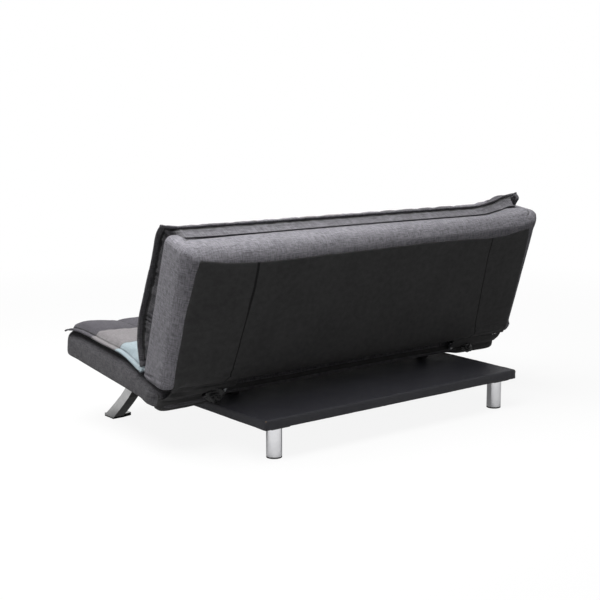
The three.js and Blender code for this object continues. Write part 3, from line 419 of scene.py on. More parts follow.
def makeFinish(name, look):
    material = bpy.data.materials.new(name)
    material.use_nodes = True
    tree = material.node_tree
    shader = tree.nodes["Principled BSDF"]
    where = place(tree, "TexCoord").outputs["UV" if look.get("uv") else "Object"]
    drawn = tree.nodes.new("ShaderNodeGroup")
    drawn.node_tree = surfaceGroups[look["group"]]
    tree.links.new(where, drawn.inputs["Vector"])
    for label, value in look["values"].items():
        drawn.inputs[label].default_value = value
    tree.links.new(drawn.outputs["Color"], shader.inputs["Base Color"])
    tree.links.new(drawn.outputs["Roughness"], shader.inputs["Roughness"])
    height = drawn.outputs["Height"]
    if "sewn" in look:
        seams = place(tree, "Attribute", attribute_name="seams").outputs["Vector"]
        lines = tree.nodes.new("ShaderNodeGroup")
        lines.node_tree = surfaceGroups["sewnLines"]
        for label, value in {"Seams": seams, "Place": where}.items():
            tree.links.new(value, lines.inputs[label])
        for label, value in look["sewn"].items():
            lines.inputs[label].default_value = value
        groove, stitch = lines.outputs["Groove"], lines.outputs["Stitch"]
        # The seam groove is darkened towards the thread's colour as painted shade, and the stitches take the
        # thread's colour
        dark = weighed(tree, groove, seamLook["paintedGrooveShade"], stitch, seamLook["stitchShade"], clamp=True)
        color = blendColors(tree, dark, drawn.outputs["Color"], look["threadColor"])
        tree.links.new(color, shader.inputs["Base Color"])
        height = calc(tree, "ADD", height, weighed(tree, stitch, 1.0, groove, seamLook["grooveDepth"]))
    bump = place(tree, "Bump", {"Height": height, "Distance": look["relief"]})
    tree.links.new(bump.outputs[0], shader.inputs["Normal"])
    for label, value in look["shader"].items():
        shader.inputs[label].default_value = value
    return material


materials = {name: makeFinish(name, look) for name, look in finishes.items()}
slotFinishes = {
    "plinth_leatherette": "leatherette", "timber": "timber", "polished_chrome": "chrome",
    "painted_steel": "paintedSteel", "zinc_steel": "zincSteel", "black_plastic": "plastic",
    "rubber": "rubber", "grey_weave": "greyWeave", "dark_weave": "darkWeave", "black_cloth": "blackCloth",
}


def coat(piece, *chosen):
    piece.data.materials.clear()
    for finish in chosen:
        piece.data.materials.append(materials[finish])


def dressNodes():
    for part in frame["record"]["subparts"]:
        coat(nodes[part["node"]], slotFinishes[part["material_slot"]])


# The front legs' rear faces take a dark chrome: a painted reflection of the dark underside of the seat and the
# shaded floor under it
legLook = {"leastRearward": 0.15, "mostSideways": 0.7}


def paintReflectionOnFrontLegs():
    for name in ("front_leg_right", "front_leg_left"):
        coat(nodes[name], "legChrome", "legChromePaintedReflection")
        for face in nodes[name].data.polygons:
            rearward = face.normal.y > legLook["leastRearward"]
            sideways = abs(face.normal.x) >= legLook["mostSideways"]
            # rearward faces get the painted reflection, all other faces the leg's own chrome
            face.material_index = 1 if rearward and not sideways else 0


dressNodes()
paintReflectionOnFrontLegs()
print("materials made:", len(materials))


# Work on one object at a time
def takeUp(piece):
    if bpy.context.object and bpy.context.object.mode == "EDIT":
        bpy.ops.object.mode_set(mode="OBJECT")
    bpy.ops.object.select_all(action="DESELECT")
    piece.select_set(True)
    bpy.context.view_layer.objects.active = piece


def addShape(name, add, **settings):
    bpy.ops.object.select_all(action="DESELECT")
    add(**settings)
    piece = bpy.context.object
    piece.name = name
    piece.data.name = name
    return piece


def addCube(name, low, high):
    middle = [(a + b) / 2 for a, b in zip(low, high)]
    size = [b - a for a, b in zip(low, high)]
    piece = addShape(name, bpy.ops.mesh.primitive_cube_add, size=1, location=middle, scale=size)
    bpy.ops.object.transform_apply(location=True, rotation=True, scale=True)
    return piece


def chooseEdges(piece, test):
    mesh = bmesh.from_edit_mesh(piece.data)
    for part in (*mesh.verts, *mesh.edges, *mesh.faces):
        part.select = False
    bpy.context.tool_settings.mesh_select_mode = (False, True, False)
    for edge in mesh.edges:
        if test(edge.verts[0].co, edge.verts[1].co):
            edge.select_set(True)
    bmesh.update_edit_mesh(piece.data)


def bevelEdges(piece, test, width, segments):
    takeUp(piece)
    bpy.ops.object.mode_set(mode="EDIT")
    chooseEdges(piece, test)
    bpy.ops.mesh.bevel(offset=width, segments=segments, affect="EDGES")
    bpy.ops.object.mode_set(mode="OBJECT")


def applyModifier(piece, kind, **settings):
    takeUp(piece)
    modifier = piece.modifiers.new(kind, kind)
    for name, value in settings.items():
        setattr(modifier, name, value)
    bpy.ops.object.modifier_apply(modifier=modifier.name)


def readPoints(piece):
    points = np.empty(len(piece.data.vertices) * 3)
    piece.data.vertices.foreach_get("co", points)
    return points.reshape(-1, 3)


def writePoints(piece, points):
    piece.data.vertices.foreach_set("co", np.ascontiguousarray(points, dtype=np.float32).ravel())
    piece.data.update()


# UVs in metres, flat on from the side that each face looks to
def unwrapByFace(piece):
    data = piece.data
    layer = data.uv_layers.get("cloth") or data.uv_layers.new(name="cloth")
    points = readPoints(piece)
    loopPoint = np.empty(len(data.loops), dtype=np.int32)
    data.loops.foreach_get("vertex_index", loopPoint)
    starts = np.empty(len(data.polygons), dtype=np.int32)
    totals = np.empty(len(data.polygons), dtype=np.int32)
    normals = np.empty(len(data.polygons) * 3)
    data.polygons.foreach_get("loop_start", starts)
    data.polygons.foreach_get("loop_total", totals)
    data.polygons.foreach_get("normal", normals)
    axis = np.abs(normals.reshape(-1, 3)).argmax(axis=1)
    pairs = np.array([[1, 2], [0, 2], [0, 1]])[np.repeat(axis, totals)]
    places = points[loopPoint]
    uv = np.take_along_axis(places, pairs, axis=1)
    layer.data.foreach_set("uv", uv.astype(np.float32).ravel())


def smooth(piece):
    piece.data.polygons.foreach_set("use_smooth", [True] * len(piece.data.polygons))
    piece.data.update()


def subdivide(piece):
    applyModifier(piece, "SUBSURF", levels=1, render_levels=1)


# Cloth made of a grid of points, with its flat places in metres as UVs
def meshFrom(name, points, faces, places):
    data = bpy.data.meshes.new(name)
    data.from_pydata(points.reshape(-1, 3).tolist(), [], faces.tolist())
    layer = data.uv_layers.new(name="cloth")
    loopPoint = np.empty(len(data.loops), dtype=np.int32)
    data.loops.foreach_get("vertex_index", loopPoint)
    layer.data.foreach_set("uv", places.reshape(-1, 2)[loopPoint].astype(np.float32).ravel())
    piece = bpy.data.objects.new(name, data)
    bpy.context.scene.collection.objects.link(piece)
    return piece


def gridFaces(columns, rows):
    index = np.arange(columns * rows).reshape(columns, rows)
    corners = (index[:-1, :-1], index[1:, :-1], index[1:, 1:], index[:-1, 1:])
    return np.stack(corners, axis=-1).reshape(-1, 4)


def borderOf(columns, rows):
    index = np.arange(columns * rows).reshape(columns, rows)
    return np.concatenate([index[:-1, 0], index[-1, :-1], index[:0:-1, -1], index[0, :0:-1]])


def storeSeams(piece, distances):
    layer = piece.data.attributes.new("seams", "FLOAT_VECTOR", "POINT")
    layer.data.foreach_set("vector", np.ascontiguousarray(distances, dtype=np.float32).ravel())


def readSeams(piece):
    values = np.empty(len(piece.data.vertices) * 3, dtype=np.float32)
    piece.data.attributes["seams"].data.foreach_get("vector", values)
    return values.reshape(-1, 3)


def readNormals(piece):
    normals = np.empty(len(piece.data.vertices) * 3, dtype=np.float32)
    piece.data.vertex_normals.foreach_get("vector", normals)
    return normals.reshape(-1, 3)


# Columns of x, y and z, or of whatever else belongs together
def stacked(*parts):
    return np.stack(np.broadcast_arrays(*parts), axis=-1)


# From 0 at the start to 1 at the end, easing in and out
def fade(values, start, end):
    share = np.clip((values - start) / (end - start), 0, 1)
    return share * share * (3 - 2 * share)


# Small folds and puckers: every point moves along its normal by the noise at its place
def ruffle(piece, amount, shares, scale, creased=False):
    points = readPoints(piece)
    normals = readNormals(piece)
    moved = np.flatnonzero(shares > 0.01)
    sharpness = 5
    for index in moved:
        x, y, z = points[index]
        height = noise.noise((x * scale[0], y * scale[1], z * scale[2]))
        if creased:
            height = max(0.0, 1 - sharpness * abs(height))
        points[index] += normals[index] * (height * amount * shares[index])
    writePoints(piece, points)


# Air under the cloth: the shape swells between its pinned points, at most by the cap
clothSettings = {
    "quality": 4, "mass": 0.3, "tension_stiffness": 12.0, "compression_stiffness": 12.0,
    "shear_stiffness": 4.0, "bending_stiffness": 0.4, "use_pressure": True,
}


def inflate(piece, pressure, cap, pinned=None, slack=0.0, frames=20):
    start = readPoints(piece)
    modifier = piece.modifiers.new("cloth", "CLOTH")
    cloth = modifier.settings
    for name, value in clothSettings.items():
        setattr(cloth, name, value)
    cloth.shrink_min = -slack
    cloth.uniform_pressure_force = pressure
    cloth.effector_weights.gravity = 0
    modifier.collision_settings.use_collision = False
    if pinned is not None:
        group = piece.vertex_groups.new(name="pinned")
        group.add(np.flatnonzero(pinned).tolist(), 1.0, "REPLACE")
        cloth.vertex_group_mass = group.name
    scene = bpy.context.scene
    modifier.point_cache.frame_start = 1
    modifier.point_cache.frame_end = frames
    for number in range(1, frames + 1):
        scene.frame_set(number)
    shaped = piece.evaluated_get(bpy.context.evaluated_depsgraph_get()).to_mesh()
    end = np.empty(len(shaped.vertices) * 3)
    shaped.vertices.foreach_get("co", end)
    moved = end.reshape(-1, 3) - start
    far = np.linalg.norm(moved, axis=1)
    share = np.where(far > 0, cap * np.tanh(far / cap) / np.maximum(far, 1e-9), 0)
    piece.modifiers.remove(modifier)
    piece.vertex_groups.clear()
    scene.frame_set(1)
    writePoints(piece, start + moved * share[:, None])
    print("  swelled", piece.name, "by up to", round(float((far * share).max()) / mm, 1), "mm")


# A slab as a rounded block: one radius for the corners seen from above, one for each face's edge.
# It starts a little small, and the cloth swells it later
def roundedSlab(name, sizes, alongY, alongZ, corners, edges):
    inset = sizes["inset"]
    low = (-slabHalf + inset, alongY[0] + inset, alongZ[0] + inset / 2)
    high = (slabHalf - inset, alongY[1] - inset, alongZ[1] - inset / 2)
    piece = addCube(name, low, high)
    middle = (low[1] + high[1]) / 2
    near = 1e-5
    bevelEdges(piece, lambda a, b: abs(a.z - b.z) > near and a.y < middle, corners[0], 8)
    bevelEdges(piece, lambda a, b: abs(a.z - b.z) > near and a.y > high[1] - near, corners[1], 8)
    bevelEdges(piece, lambda a, b: min(a.z, b.z) > high[2] - near, edges[0], 6)
    bevelEdges(piece, lambda a, b: max(a.z, b.z) < low[2] + near, edges[1], 8)
    applyModifier(piece, "REMESH", mode="VOXEL", voxel_size=sizes["voxel"])
    return piece


def finishPad(piece, body, turn, replaced):
    piece.data.transform(turn)
    smooth(piece)
    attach(piece, body)
    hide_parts(replaced)


# Seat base: a thick foam pad whose top falls away towards the hinge
seatBaseSizes = {
    "rear": 19 * mm, "front": -732 * mm, "below": -35 * mm, "above": 81 * mm, "inset": 1 * mm,
    "frontCorner": 40 * mm, "rearCorner": 80 * mm, "topEdge": 46 * mm, "bottomEdge": 9 * mm,
    "chamfer": 46 * mm, "voxel": 12 * mm, "slopeStart": -220 * mm, "slope": 11,
    "pressure": 3.5, "cap": 9 * mm, "fill": 0.85,
    # the rear corners hang slack, one less than the other
    "droop": 13 * mm, "droopX": (0.62, 0.76), "droopY": (-125 * mm, -25 * mm), "droopTop": 0.6,
    "droopBack": 14 * mm, "droopBackRun": 60 * mm, "farDroop": 0.3,
    # puckers where the cloth is drawn in round the hinges
    "pucker": 5 * mm, "puckerScale": (6, 10, 34),
    "puckerX": (0.9, 0.96), "puckerY": (-130 * mm, -30 * mm), "puckerZ": (-25 * mm, 5 * mm),
}


def seatTopAt(y):
    sizes = seatBaseSizes
    return sizes["above"] - math.tan(math.radians(sizes["slope"])) * np.maximum(0, y - sizes["slopeStart"])


def makeSeatBase():
    sizes = seatBaseSizes
    below, above, rear = sizes["below"], sizes["above"], sizes["rear"]
    corners = (sizes["frontCorner"], sizes["rearCorner"])
    edges = (sizes["topEdge"], sizes["bottomEdge"])
    piece = roundedSlab("seatBase", sizes, (sizes["front"], rear), (below, above), corners, edges)
    points = readPoints(piece)
    share = np.clip((points[:, 2] - below) / (above - below), 0, 1)
    points[:, 2] -= share * (above - seatTopAt(points[:, 1]))
    toFront = np.clip(sizes["chamfer"] - (points[:, 1] - sizes["front"]), 0, sizes["chamfer"])
    lifted = sizes["chamfer"] - np.sqrt(sizes["chamfer"] ** 2 - toFront ** 2)
    points[:, 2] += lifted * (1 - share)
    writePoints(piece, points)
    inflate(piece, sizes["pressure"], sizes["cap"])
    subdivide(piece)
    points = readPoints(piece)
    slack = fade(np.abs(points[:, 0]), *sizes["droopX"]) * fade(points[:, 1], *sizes["droopY"])
    slack *= 1 - fade(points[:, 2], below, above * sizes["droopTop"])
    slack = np.where(points[:, 0] < 0, sizes["farDroop"] * slack, slack)
    points[:, 2] -= sizes["droop"] * slack
    points[:, 1] += sizes["droopBack"] * slack * fade(points[:, 1], rear - sizes["droopBackRun"], rear)
    writePoints(piece, points)
    gathered = fade(np.abs(points[:, 0]), *sizes["puckerX"]) * fade(points[:, 1], *sizes["puckerY"])
    gathered *= fade(points[:, 2], *sizes["puckerZ"])
    ruffle(piece, -sizes["pucker"], gathered, sizes["puckerScale"], creased=True)
    storeSeams(piece, np.ones((len(points), 3)))
    unwrapByFace(piece)
    coat(piece, "darkWeave")
    finishPad(piece, "seat", seatTurn, "seat_pad")
    return piece


seatBase = makeSeatBase()
print("seat base made:", len(seatBase.data.polygons), "faces")


# Back base: a boxy foam pad, its rear face full in the middle and falling in towards the ends
backBaseSizes = {
    "low": 34 * mm, "high": 664 * mm, "rear": -90 * mm, "front": 101 * mm, "inset": 1.5 * mm,
    "lowCorner": 20 * mm, "highCorner": 26 * mm, "frontEdge": 10 * mm, "rearEdge": 66 * mm,
    "voxel": 12 * mm, "pressure": 3.5, "cap": 5 * mm, "fill": 0.85,
    "crown": 20 * mm, "crownPower": 5, "lowFront": 20 * mm, "lowRise": 14 * mm, "lowRiseRun": 150 * mm,
    # one upper corner hangs in front and stands up behind
    "farFalls": 16 * mm, "farStands": 13 * mm, "farX": (0.8, 0.96), "farRun": 150 * mm,
    # a gusset along the upper edge, sewn in a long loop; its rear line shows at one end only
    "gusset": {
        "half": 0.93, "from": -46 * mm, "to": 45 * mm, "below": 30 * mm, "pressed": 5 * mm, "reach": 8 * mm,
        "hidden": 40, "hiddenX": (0.78, 0.9), "hiddenStart": 12 * mm, "hiddenEnd": 24 * mm,
    },
    "pucker": 6 * mm, "puckerScale": (6, 55, 9), "puckerX": (0.93, 0.96), "puckerY": (119 * mm, 69 * mm),
    "kept": 0.94, "pressedAt": 0.35,
}


# How far a point on the slab's upper edge is from the gusset's seam
def gussetDistance(points):
    sizes = backBaseSizes["gusset"]
    radius = (sizes["to"] - sizes["from"]) / 2
    middle = (sizes["to"] + sizes["from"]) / 2
    aside = np.maximum(np.abs(points[:, 0]) - (sizes["half"] - radius), 0)
    distance = np.hypot(aside, points[:, 2] - middle) - radius
    behind = fade(points[:, 2], sizes["to"] - sizes["hiddenStart"], sizes["to"] - sizes["hiddenEnd"])
    hidden = (1 - fade(-points[:, 0], *sizes["hiddenX"])) * behind
    below = np.clip(backBaseSizes["high"] - sizes["below"] - points[:, 1], 0, None)
    return (distance + below) * (1 + sizes["hidden"] * hidden)


# Each piece of the back gets a mesh of its own
def pressOnPlinth(piece):
    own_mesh(piece)


def makeBackBase():
    sizes = backBaseSizes
    low, high, front, gusset = sizes["low"], sizes["high"], sizes["front"], sizes["gusset"]
    corners = (sizes["lowCorner"], sizes["highCorner"])
    edges = (sizes["frontEdge"], sizes["rearEdge"])
    piece = roundedSlab("backBase", sizes, (low, high), (sizes["rear"], front), corners, edges)
    points = readPoints(piece)
    share = np.clip((front - points[:, 2]) / (front - sizes["rear"]), 0, 1)
    points[:, 2] += share * sizes["crown"] * np.abs(points[:, 0] / slabHalf) ** sizes["crownPower"]
    rounded = np.clip(sizes["lowFront"] - (points[:, 1] - low), 0, sizes["lowFront"])
    drawnBack = sizes["lowFront"] - np.sqrt(sizes["lowFront"] ** 2 - rounded ** 2)
    points[:, 2] -= drawnBack * np.clip(points[:, 2] / front, 0, 1)
    points[:, 1] += sizes["lowRise"] * share * fade(points[:, 1], low + sizes["lowRiseRun"], low)
    corner = fade(-points[:, 0], *sizes["farX"]) * fade(points[:, 1], high - sizes["farRun"], high)
    points[:, 1] += corner * (sizes["farStands"] * share - sizes["farFalls"] * (1 - share))
    writePoints(piece, points)
    inflate(piece, sizes["pressure"], sizes["cap"])
    subdivide(piece)
    points = readPoints(piece)
    toSeam = gussetDistance(points)
    pressed = np.exp(-(toSeam / gusset["reach"]) ** 2) * (points[:, 1] > high - gusset["below"])
    points[:, 1] -= gusset["pressed"] * pressed
    writePoints(piece, points)
    gathered = fade(np.abs(points[:, 0]), *sizes["puckerX"]) * fade(points[:, 1], *sizes["puckerY"])
    ruffle(piece, -sizes["pucker"], gathered, sizes["puckerScale"], creased=True)
    storeSeams(piece, stacked(toSeam, 1.0, 1.0))
    unwrapByFace(piece)
    coat(piece, "greyWeave")
    finishPad(piece, "back", backTurn, "back_pad")
    pressOnPlinth(piece)
    return piece


backBase = makeBackBase()
print("back base made:", len(backBase.data.polygons), "faces")


# A smooth line through a few points, even steps apart along it
def between(first, second, start, end, at):
    return ((end - at) * first + (at - start) * second) / (end - start)


def lineThrough(points, steps=24):
    before = 2 * np.array(points[0]) - points[1]
    after = 2 * np.array(points[-1]) - points[-2]
    known = np.array([before, *points, after])
    line = []
    for a, b, c, d in zip(known, known[1:], known[2:], known[3:]):
        k, m, n, o = np.cumsum([0] + [math.sqrt(math.dist(p, q)) for p, q in ((a, b), (b, c), (c, d))])
        for at in np.linspace(m, n, steps, endpoint=False):
            ab = between(a, b, k, m, at)
            bc = between(b, c, m, n, at)
            cd = between(c, d, n, o, at)
            line.append(between(between(ab, bc, k, n, at), between(bc, cd, m, o, at), m, n, at))
    line.append(known[-2])
    return np.array(line)


class Spine:
    def __init__(self, points):
        self.line = lineThrough(points)
        steps = np.linalg.norm(np.diff(self.line, axis=0), axis=1)
        self.at = np.concatenate([[0], np.cumsum(steps)])
        self.length = self.at[-1]

    def placeAt(self, at):
        return np.stack([np.interp(at, self.at, values) for values in self.line.T], axis=-1)

    def tangentAt(self, at):
        ahead = self.placeAt(np.minimum(at + mm, self.length)) - self.placeAt(np.maximum(at - mm, 0))
        return ahead / np.linalg.norm(ahead, axis=-1, keepdims=True)


# Toppers: quilted pads in patches, with a sewn flange all round
topperLook = {
    "flange": 22 * mm, "columns": 9, "rows": 3, "columnCells": 16, "rowCells": 15, "fill": 0.8,
    "crowding": 0.05,  # the cells stand closer at the seams
    "swellPower": 2.4, "swellRun": 34 * mm, "fullPower": 4, "bowPower": 4,
    "rimShares": [0, 0.12, 0.35, 0.7, 0.88, 1], "rimFullness": [0.5, 1.05, 1.3, 1.1, 0.75, 0.25],
    "rimRun": 8 * mm, "tiltShare": (0.945, 1), "tiltForward": 0.57, "foldShare": (0.8, 0.955),
    "flatRun": (80 * mm, 220 * mm), "flatShare": (0.5, 0.15), "flatAbove": 8 * mm,
    "settleStart": (0.6, 0.85), "settleEnd": (0.93, 1), "overShare": 0.9, "overFold": 10 * mm,
    "pressure": 2.5, "slack": 0.02, "cap": 8 * mm, "frames": 16,
    "pucker": 3.0 * mm, "puckerReach": 26 * mm, "channelPucker": 0.6, "puckerScale": (42, 42, 42),
    "pleatedEnd": 90 * mm, "pleatRun": (110 * mm, 50 * mm), "pleatScale": (5, 52, 5),
}
seatTopperSizes = {
    "start": -704 * mm, "end": -90 * mm, "base": 81.6 * mm, "rise": 70 * mm,
    "loft": 22 * mm, "under": 58 * mm, "sideDrawIn": 10 * mm, "flangeHalf": 5 * mm, "channel": 3 * mm,
    "flatter": 0.38, "settle": None, "tilt": 0, "pleats": 0, "over": 0,
    "spine": [(0, -0.08), (0.06, 0.15), (0.16, 0.3), (0.3, 0.35), (0.48, 0.36), (0.65, 0.42), (0.74, 0.41),
              (0.86, 0.25), (0.94, 0.12), (1, 0.07)],
    "lowDrawn": [(-1, 0), (-0.8, 14), (0, 24), (0.8, 14), (1, 0)],
    "highDrawn": [(-1, 0), (0, 8), (1, 0)], "highFolded": [(-1, 0), (1, 0)],
    "patches": ["DGCDTCGCC", "TCBGDBTGT", "GBTCBGDCB"],  # from the front row back, left to right
    "underside": "D", "flanges": None,
}
backTopperSizes = {
    "start": 88 * mm, "end": 700 * mm, "base": 100 * mm, "rise": 71 * mm,
    "loft": 20 * mm, "under": 78 * mm, "sideDrawIn": 2 * mm, "flangeHalf": 4.5 * mm, "channel": 4.5 * mm,
    "flatter": 0, "tilt": 15 * mm, "pleats": 8 * mm, "over": backBaseSizes["high"] - 1.5 * mm,
    "settle": {"start": -0.86, "end": -0.975, "depth": 34 * mm},  # one upper corner hangs towards the base
    "spine": [(0, 0.13), (0.085, 0.57), (0.156, 0.84), (0.3, 1.02), (0.44, 0.92), (0.58, 0.81),
              (0.71, 0.67), (0.83, 0.62), (0.89, 0.61), (0.95, 0.44), (1, 0.06)],
    "lowDrawn": [(-1, 0), (0, 8), (1, 0)],
    "highDrawn": [(-1, 0), (-0.9, 2), (-0.81, 5), (-0.68, 8), (0, 8), (0.58, 6), (0.82, 6), (0.92, 8),
                  (1, 0)],
    # between its corners the upper edge lies back over the base
    "highFolded": [(-1, 0), (-0.875, 22), (-0.81, 46), (-0.68, 80), (-0.6, 80), (-0.24, 64), (0.05, 51),
                   (0.32, 42), (0.58, 34), (0.82, 22), (0.93, 12), (1, 0)],
    "patches": ["CGDBTGCDC", "CTCGBDTGC", "CGCDGTGDC"],
    # the underside and the flanges take the darker copy of the grey weave, painted shade, and at one end the dark
    # weave, darker cloth and painted shade
    "underside": "S", "flanges": ("D", "S"),  # at one end, and round the rest
}
patchFinishes = {
    "C": "charcoalPatch", "D": "darkWeave", "G": "greyWeave", "T": "taupePatch", "B": "bluePatch",
    "S": "greyWeavePaintedShade",
}
patchLetters = sorted(patchFinishes)


# Places across or along a topper, and for each how full, how near a seam and in which patch it is
def topperStations(low, high, patches, cells):
    look = topperLook
    seam = low + look["flange"]
    patch = (high - seam - look["flange"]) / patches
    shares = np.arange(cells) / cells
    shares = shares - look["crowding"] * np.sin(2 * math.pi * shares)
    inner = (seam + patch * (np.arange(patches)[:, None] + shares)).ravel()
    rim = np.array(look["rimShares"]) * look["flange"]
    at = np.concatenate([low + rim[:-1], inner, high - rim[::-1]])
    inward = np.minimum(at - low, high - at)
    fromSeam = inward - look["flange"]
    share = np.clip((at - seam) / patch, 0, patches - 1e-6)
    nearest = np.clip(np.round((at - seam) / patch), 1, patches - 1)
    reach = np.clip(fromSeam / look["swellRun"], 0, 1)
    power = look["swellPower"]
    return {
        "at": at, "inward": inward, "swell": (1 - (1 - reach) ** power) ** (1 / power),
        "full": np.where(fromSeam > 0, 1 - np.abs(2 * (share % 1) - 1) ** look["fullPower"], 0),
        "rim": np.interp(inward, [*rim, rim[-1] + look["rimRun"]], [*look["rimFullness"], 1]),
        "seam": at - (seam + patch * nearest), "patch": np.floor(share).astype(int),
    }


# Every face takes its patch's cloth, and the flange and the underside may have their own, darker ones that carry
# painted shade
def colorPatches(piece, sizes, columns, rows, inward, faces):
    above, below, ring = faces
    for letter in patchLetters:
        piece.data.materials.append(materials[patchFinishes[letter]])
    patches = np.array([[patchLetters.index(letter) for letter in row] for row in sizes["patches"]])
    colors = patches[rows["patch"][None, :], columns["patch"][:, None]].ravel()
    onFlange = (inward < topperLook["flange"] - 0.1 * mm).ravel()
    toEnd = columns["at"][-1] - np.broadcast_to(columns["at"][:, None], inward.shape).ravel()
    # on the back the flange takes the dark weave at one end, darker cloth and painted shade, and the darker copy
    # of the grey weave round the rest, painted shade
    if sizes["flanges"]:
        atEnd, along = (patchLetters.index(letter) for letter in sizes["flanges"])
        ofFlange = np.where(toEnd < topperLook["flange"] - 0.1 * mm, atEnd, along)
        colors = np.where(onFlange, ofFlange, colors)
    # the back's underside takes the darker copy of the grey weave, painted shade
    under = np.where(onFlange, colors, patchLetters.index(sizes["underside"]))
    # near the pleated end the underside takes the dark weave: darker cloth, with painted shade in the pleats
    if sizes["pleats"]:
        gathered = (toEnd < topperLook["pleatedEnd"]) & ~onFlange
        under = np.where(gathered, patchLetters.index("D"), under)
    first, second = above[:, 0], below[:, 3]
    upper = np.where(onFlange[above].any(axis=1), colors[above][:, 0], colors[first])
    lower = np.where(onFlange[second], colors[second], under[second])
    chosen = np.concatenate([upper, lower, colors[ring]])
    piece.data.polygons.foreach_set("material_index", chosen.astype(np.int32))


def makeTopper(name, sizes, restsOn, body, turn, replaced):
    look = topperLook
    half = sofaHalf - 1 * mm
    run = sizes["end"] - sizes["start"]
    spine = Spine([(sizes["start"] + run * along, sizes["base"] + sizes["rise"] * up)
                   for along, up in sizes["spine"]])
    columns = topperStations(-half, half, look["columns"], look["columnCells"])
    rows = topperStations(0, spine.length, look["rows"], look["rowCells"])
    width, depth = len(columns["at"]), len(rows["at"])
    side = np.abs(columns["at"] / half) ** look["bowPower"]
    share = rows["at"] / spine.length
    middle = 1 - np.abs(2 * share - 1) ** look["bowPower"]
    lowDrawn, highDrawn, folded = (np.interp(columns["at"] / half, *zip(*sizes[key]))[:, None] * mm
                                   for key in ("lowDrawn", "highDrawn", "highFolded"))
    place = spine.placeAt(rows["at"])
    tangent = spine.tangentAt(rows["at"])
    swell = columns["swell"][:, None] * rows["swell"]
    thick = sizes["flangeHalf"] * np.minimum(columns["rim"][:, None], rows["rim"])
    channel = sizes["channel"] * (1 - columns["full"][:, None] * rows["full"]) * swell
    drawnIn = np.sign(columns["at"])[:, None] * sizes["sideDrawIn"] * side[:, None] * middle
    x = columns["at"][:, None] - drawnIn
    shift = lowDrawn * (1 - share) ** 3 - highDrawn * share ** 3
    tilt = sizes["tilt"] * fade(share, *look["tiltShare"])
    layers = []
    for sign, bulge in ((1, sizes["loft"] * swell - channel), (-1, sizes["under"] * swell)):
        offset = sign * (thick + bulge)
        y = place[:, 0] + shift - tangent[:, 1] * offset - look["tiltForward"] * tilt
        z = place[:, 1] + tangent[:, 0] * offset + tilt - folded * fade(share, *look["foldShare"])
        layers.append(stacked(x, y, z))
    # away from its ends the front of the pad lies flatter
    flatter = fade(sofaHalf - np.abs(x), *look["flatRun"]) * fade(share, *look["flatShare"])
    heights = layers[0][..., 2]
    heights -= sizes["flatter"] * flatter * np.clip(heights - sizes["base"] - look["flatAbove"], 0, None)
    if sizes["settle"]:
        settle = sizes["settle"]
        hung = fade(-x, -settle["start"], -settle["end"]) * fade(share, *look["settleStart"])
        for layer in layers:
            layer[..., 2] -= settle["depth"] * hung * (1 - fade(share, *look["settleEnd"]))
    support = restsOn(layers[1][..., 0], layers[1][..., 1])
    resting = layers[1][..., 2] < support
    onTop = resting & (share > look["overShare"]) & (folded > look["overFold"])
    layers[1][..., 1] = np.where(onTop, sizes["over"], layers[1][..., 1])
    layers[1][..., 2] = np.where(onTop, layers[1][..., 2], np.maximum(layers[1][..., 2], support))

    count = width * depth
    above = gridFaces(width, depth)
    below = gridFaces(width, depth)[:, ::-1]
    ring = borderOf(width, depth)
    after = np.roll(ring, -1)
    rim = np.stack([ring + count, after + count, after, ring], axis=-1)
    places = stacked(columns["at"][:, None], rows["at"])
    faces = np.concatenate([above, below + count, rim])
    piece = meshFrom(name, np.stack(layers), faces, np.stack([places, places]))
    inward = np.minimum(columns["inward"][:, None], rows["inward"])
    toRim = inward - look["flange"]
    seams = stacked(columns["seam"][:, None], rows["seam"], toRim)
    far = stacked(1.0, 1.0, toRim)
    storeSeams(piece, np.stack([seams, far]))
    colorPatches(piece, sizes, columns, rows, inward, (above, below, ring))

    atRim = toRim < 0.1 * mm
    sewn = atRim | (np.abs(seams[..., :2]).min(axis=-1) < 1 * mm)
    held = np.stack([sewn, resting | atRim])
    inflate(piece, look["pressure"], look["cap"], held.ravel(), look["slack"], look["frames"])
    subdivide(piece)
    near = readSeams(piece)
    reach = look["puckerReach"]
    edge = np.exp(-np.clip(near[:, 2], 0, None) / reach) * (near[:, 2] > -2 * mm)
    channels = np.exp(-np.minimum(np.abs(near[:, 0]), np.abs(near[:, 1])) / (0.5 * reach))
    ruffle(piece, look["pucker"], np.maximum(edge, look["channelPucker"] * channels), look["puckerScale"])
    points, normals = readPoints(piece), readNormals(piece)
    pleated = fade(half - np.abs(points[:, 0]), *look["pleatRun"]) * (normals[:, 2] < 0) * (near[:, 2] > 0)
    ruffle(piece, -sizes["pleats"], pleated, look["pleatScale"], creased=True)
    finishPad(piece, body, turn, replaced)
    return piece


# The height that a topper's underside rests at: none beside the slab
def within(x, y, low, high, height):
    inside = (np.abs(x) < slabHalf) & (y > low) & (y < high)
    return np.where(inside, height, -1)


def makeToppers():
    seatSizes, backSizes = seatBaseSizes, backBaseSizes
    rest = 1 * mm
    seat = makeTopper(
        "seatTopper", seatTopperSizes,
        lambda x, y: within(x, y, seatSizes["front"], seatSizes["rear"], seatTopAt(y) + rest),
        "seat", seatTurn, "seat_topper",
    )
    back = makeTopper(
        "backTopper", backTopperSizes,
        lambda x, y: within(x, y, backSizes["low"], backSizes["high"], backSizes["front"] + rest),
        "back", backTurn, "back_topper",
    )
    return seat, back


seatTopper, backTopper = makeToppers()
print("toppers made:", len(seatTopper.data.polygons), "and", len(backTopper.data.polygons), "faces")


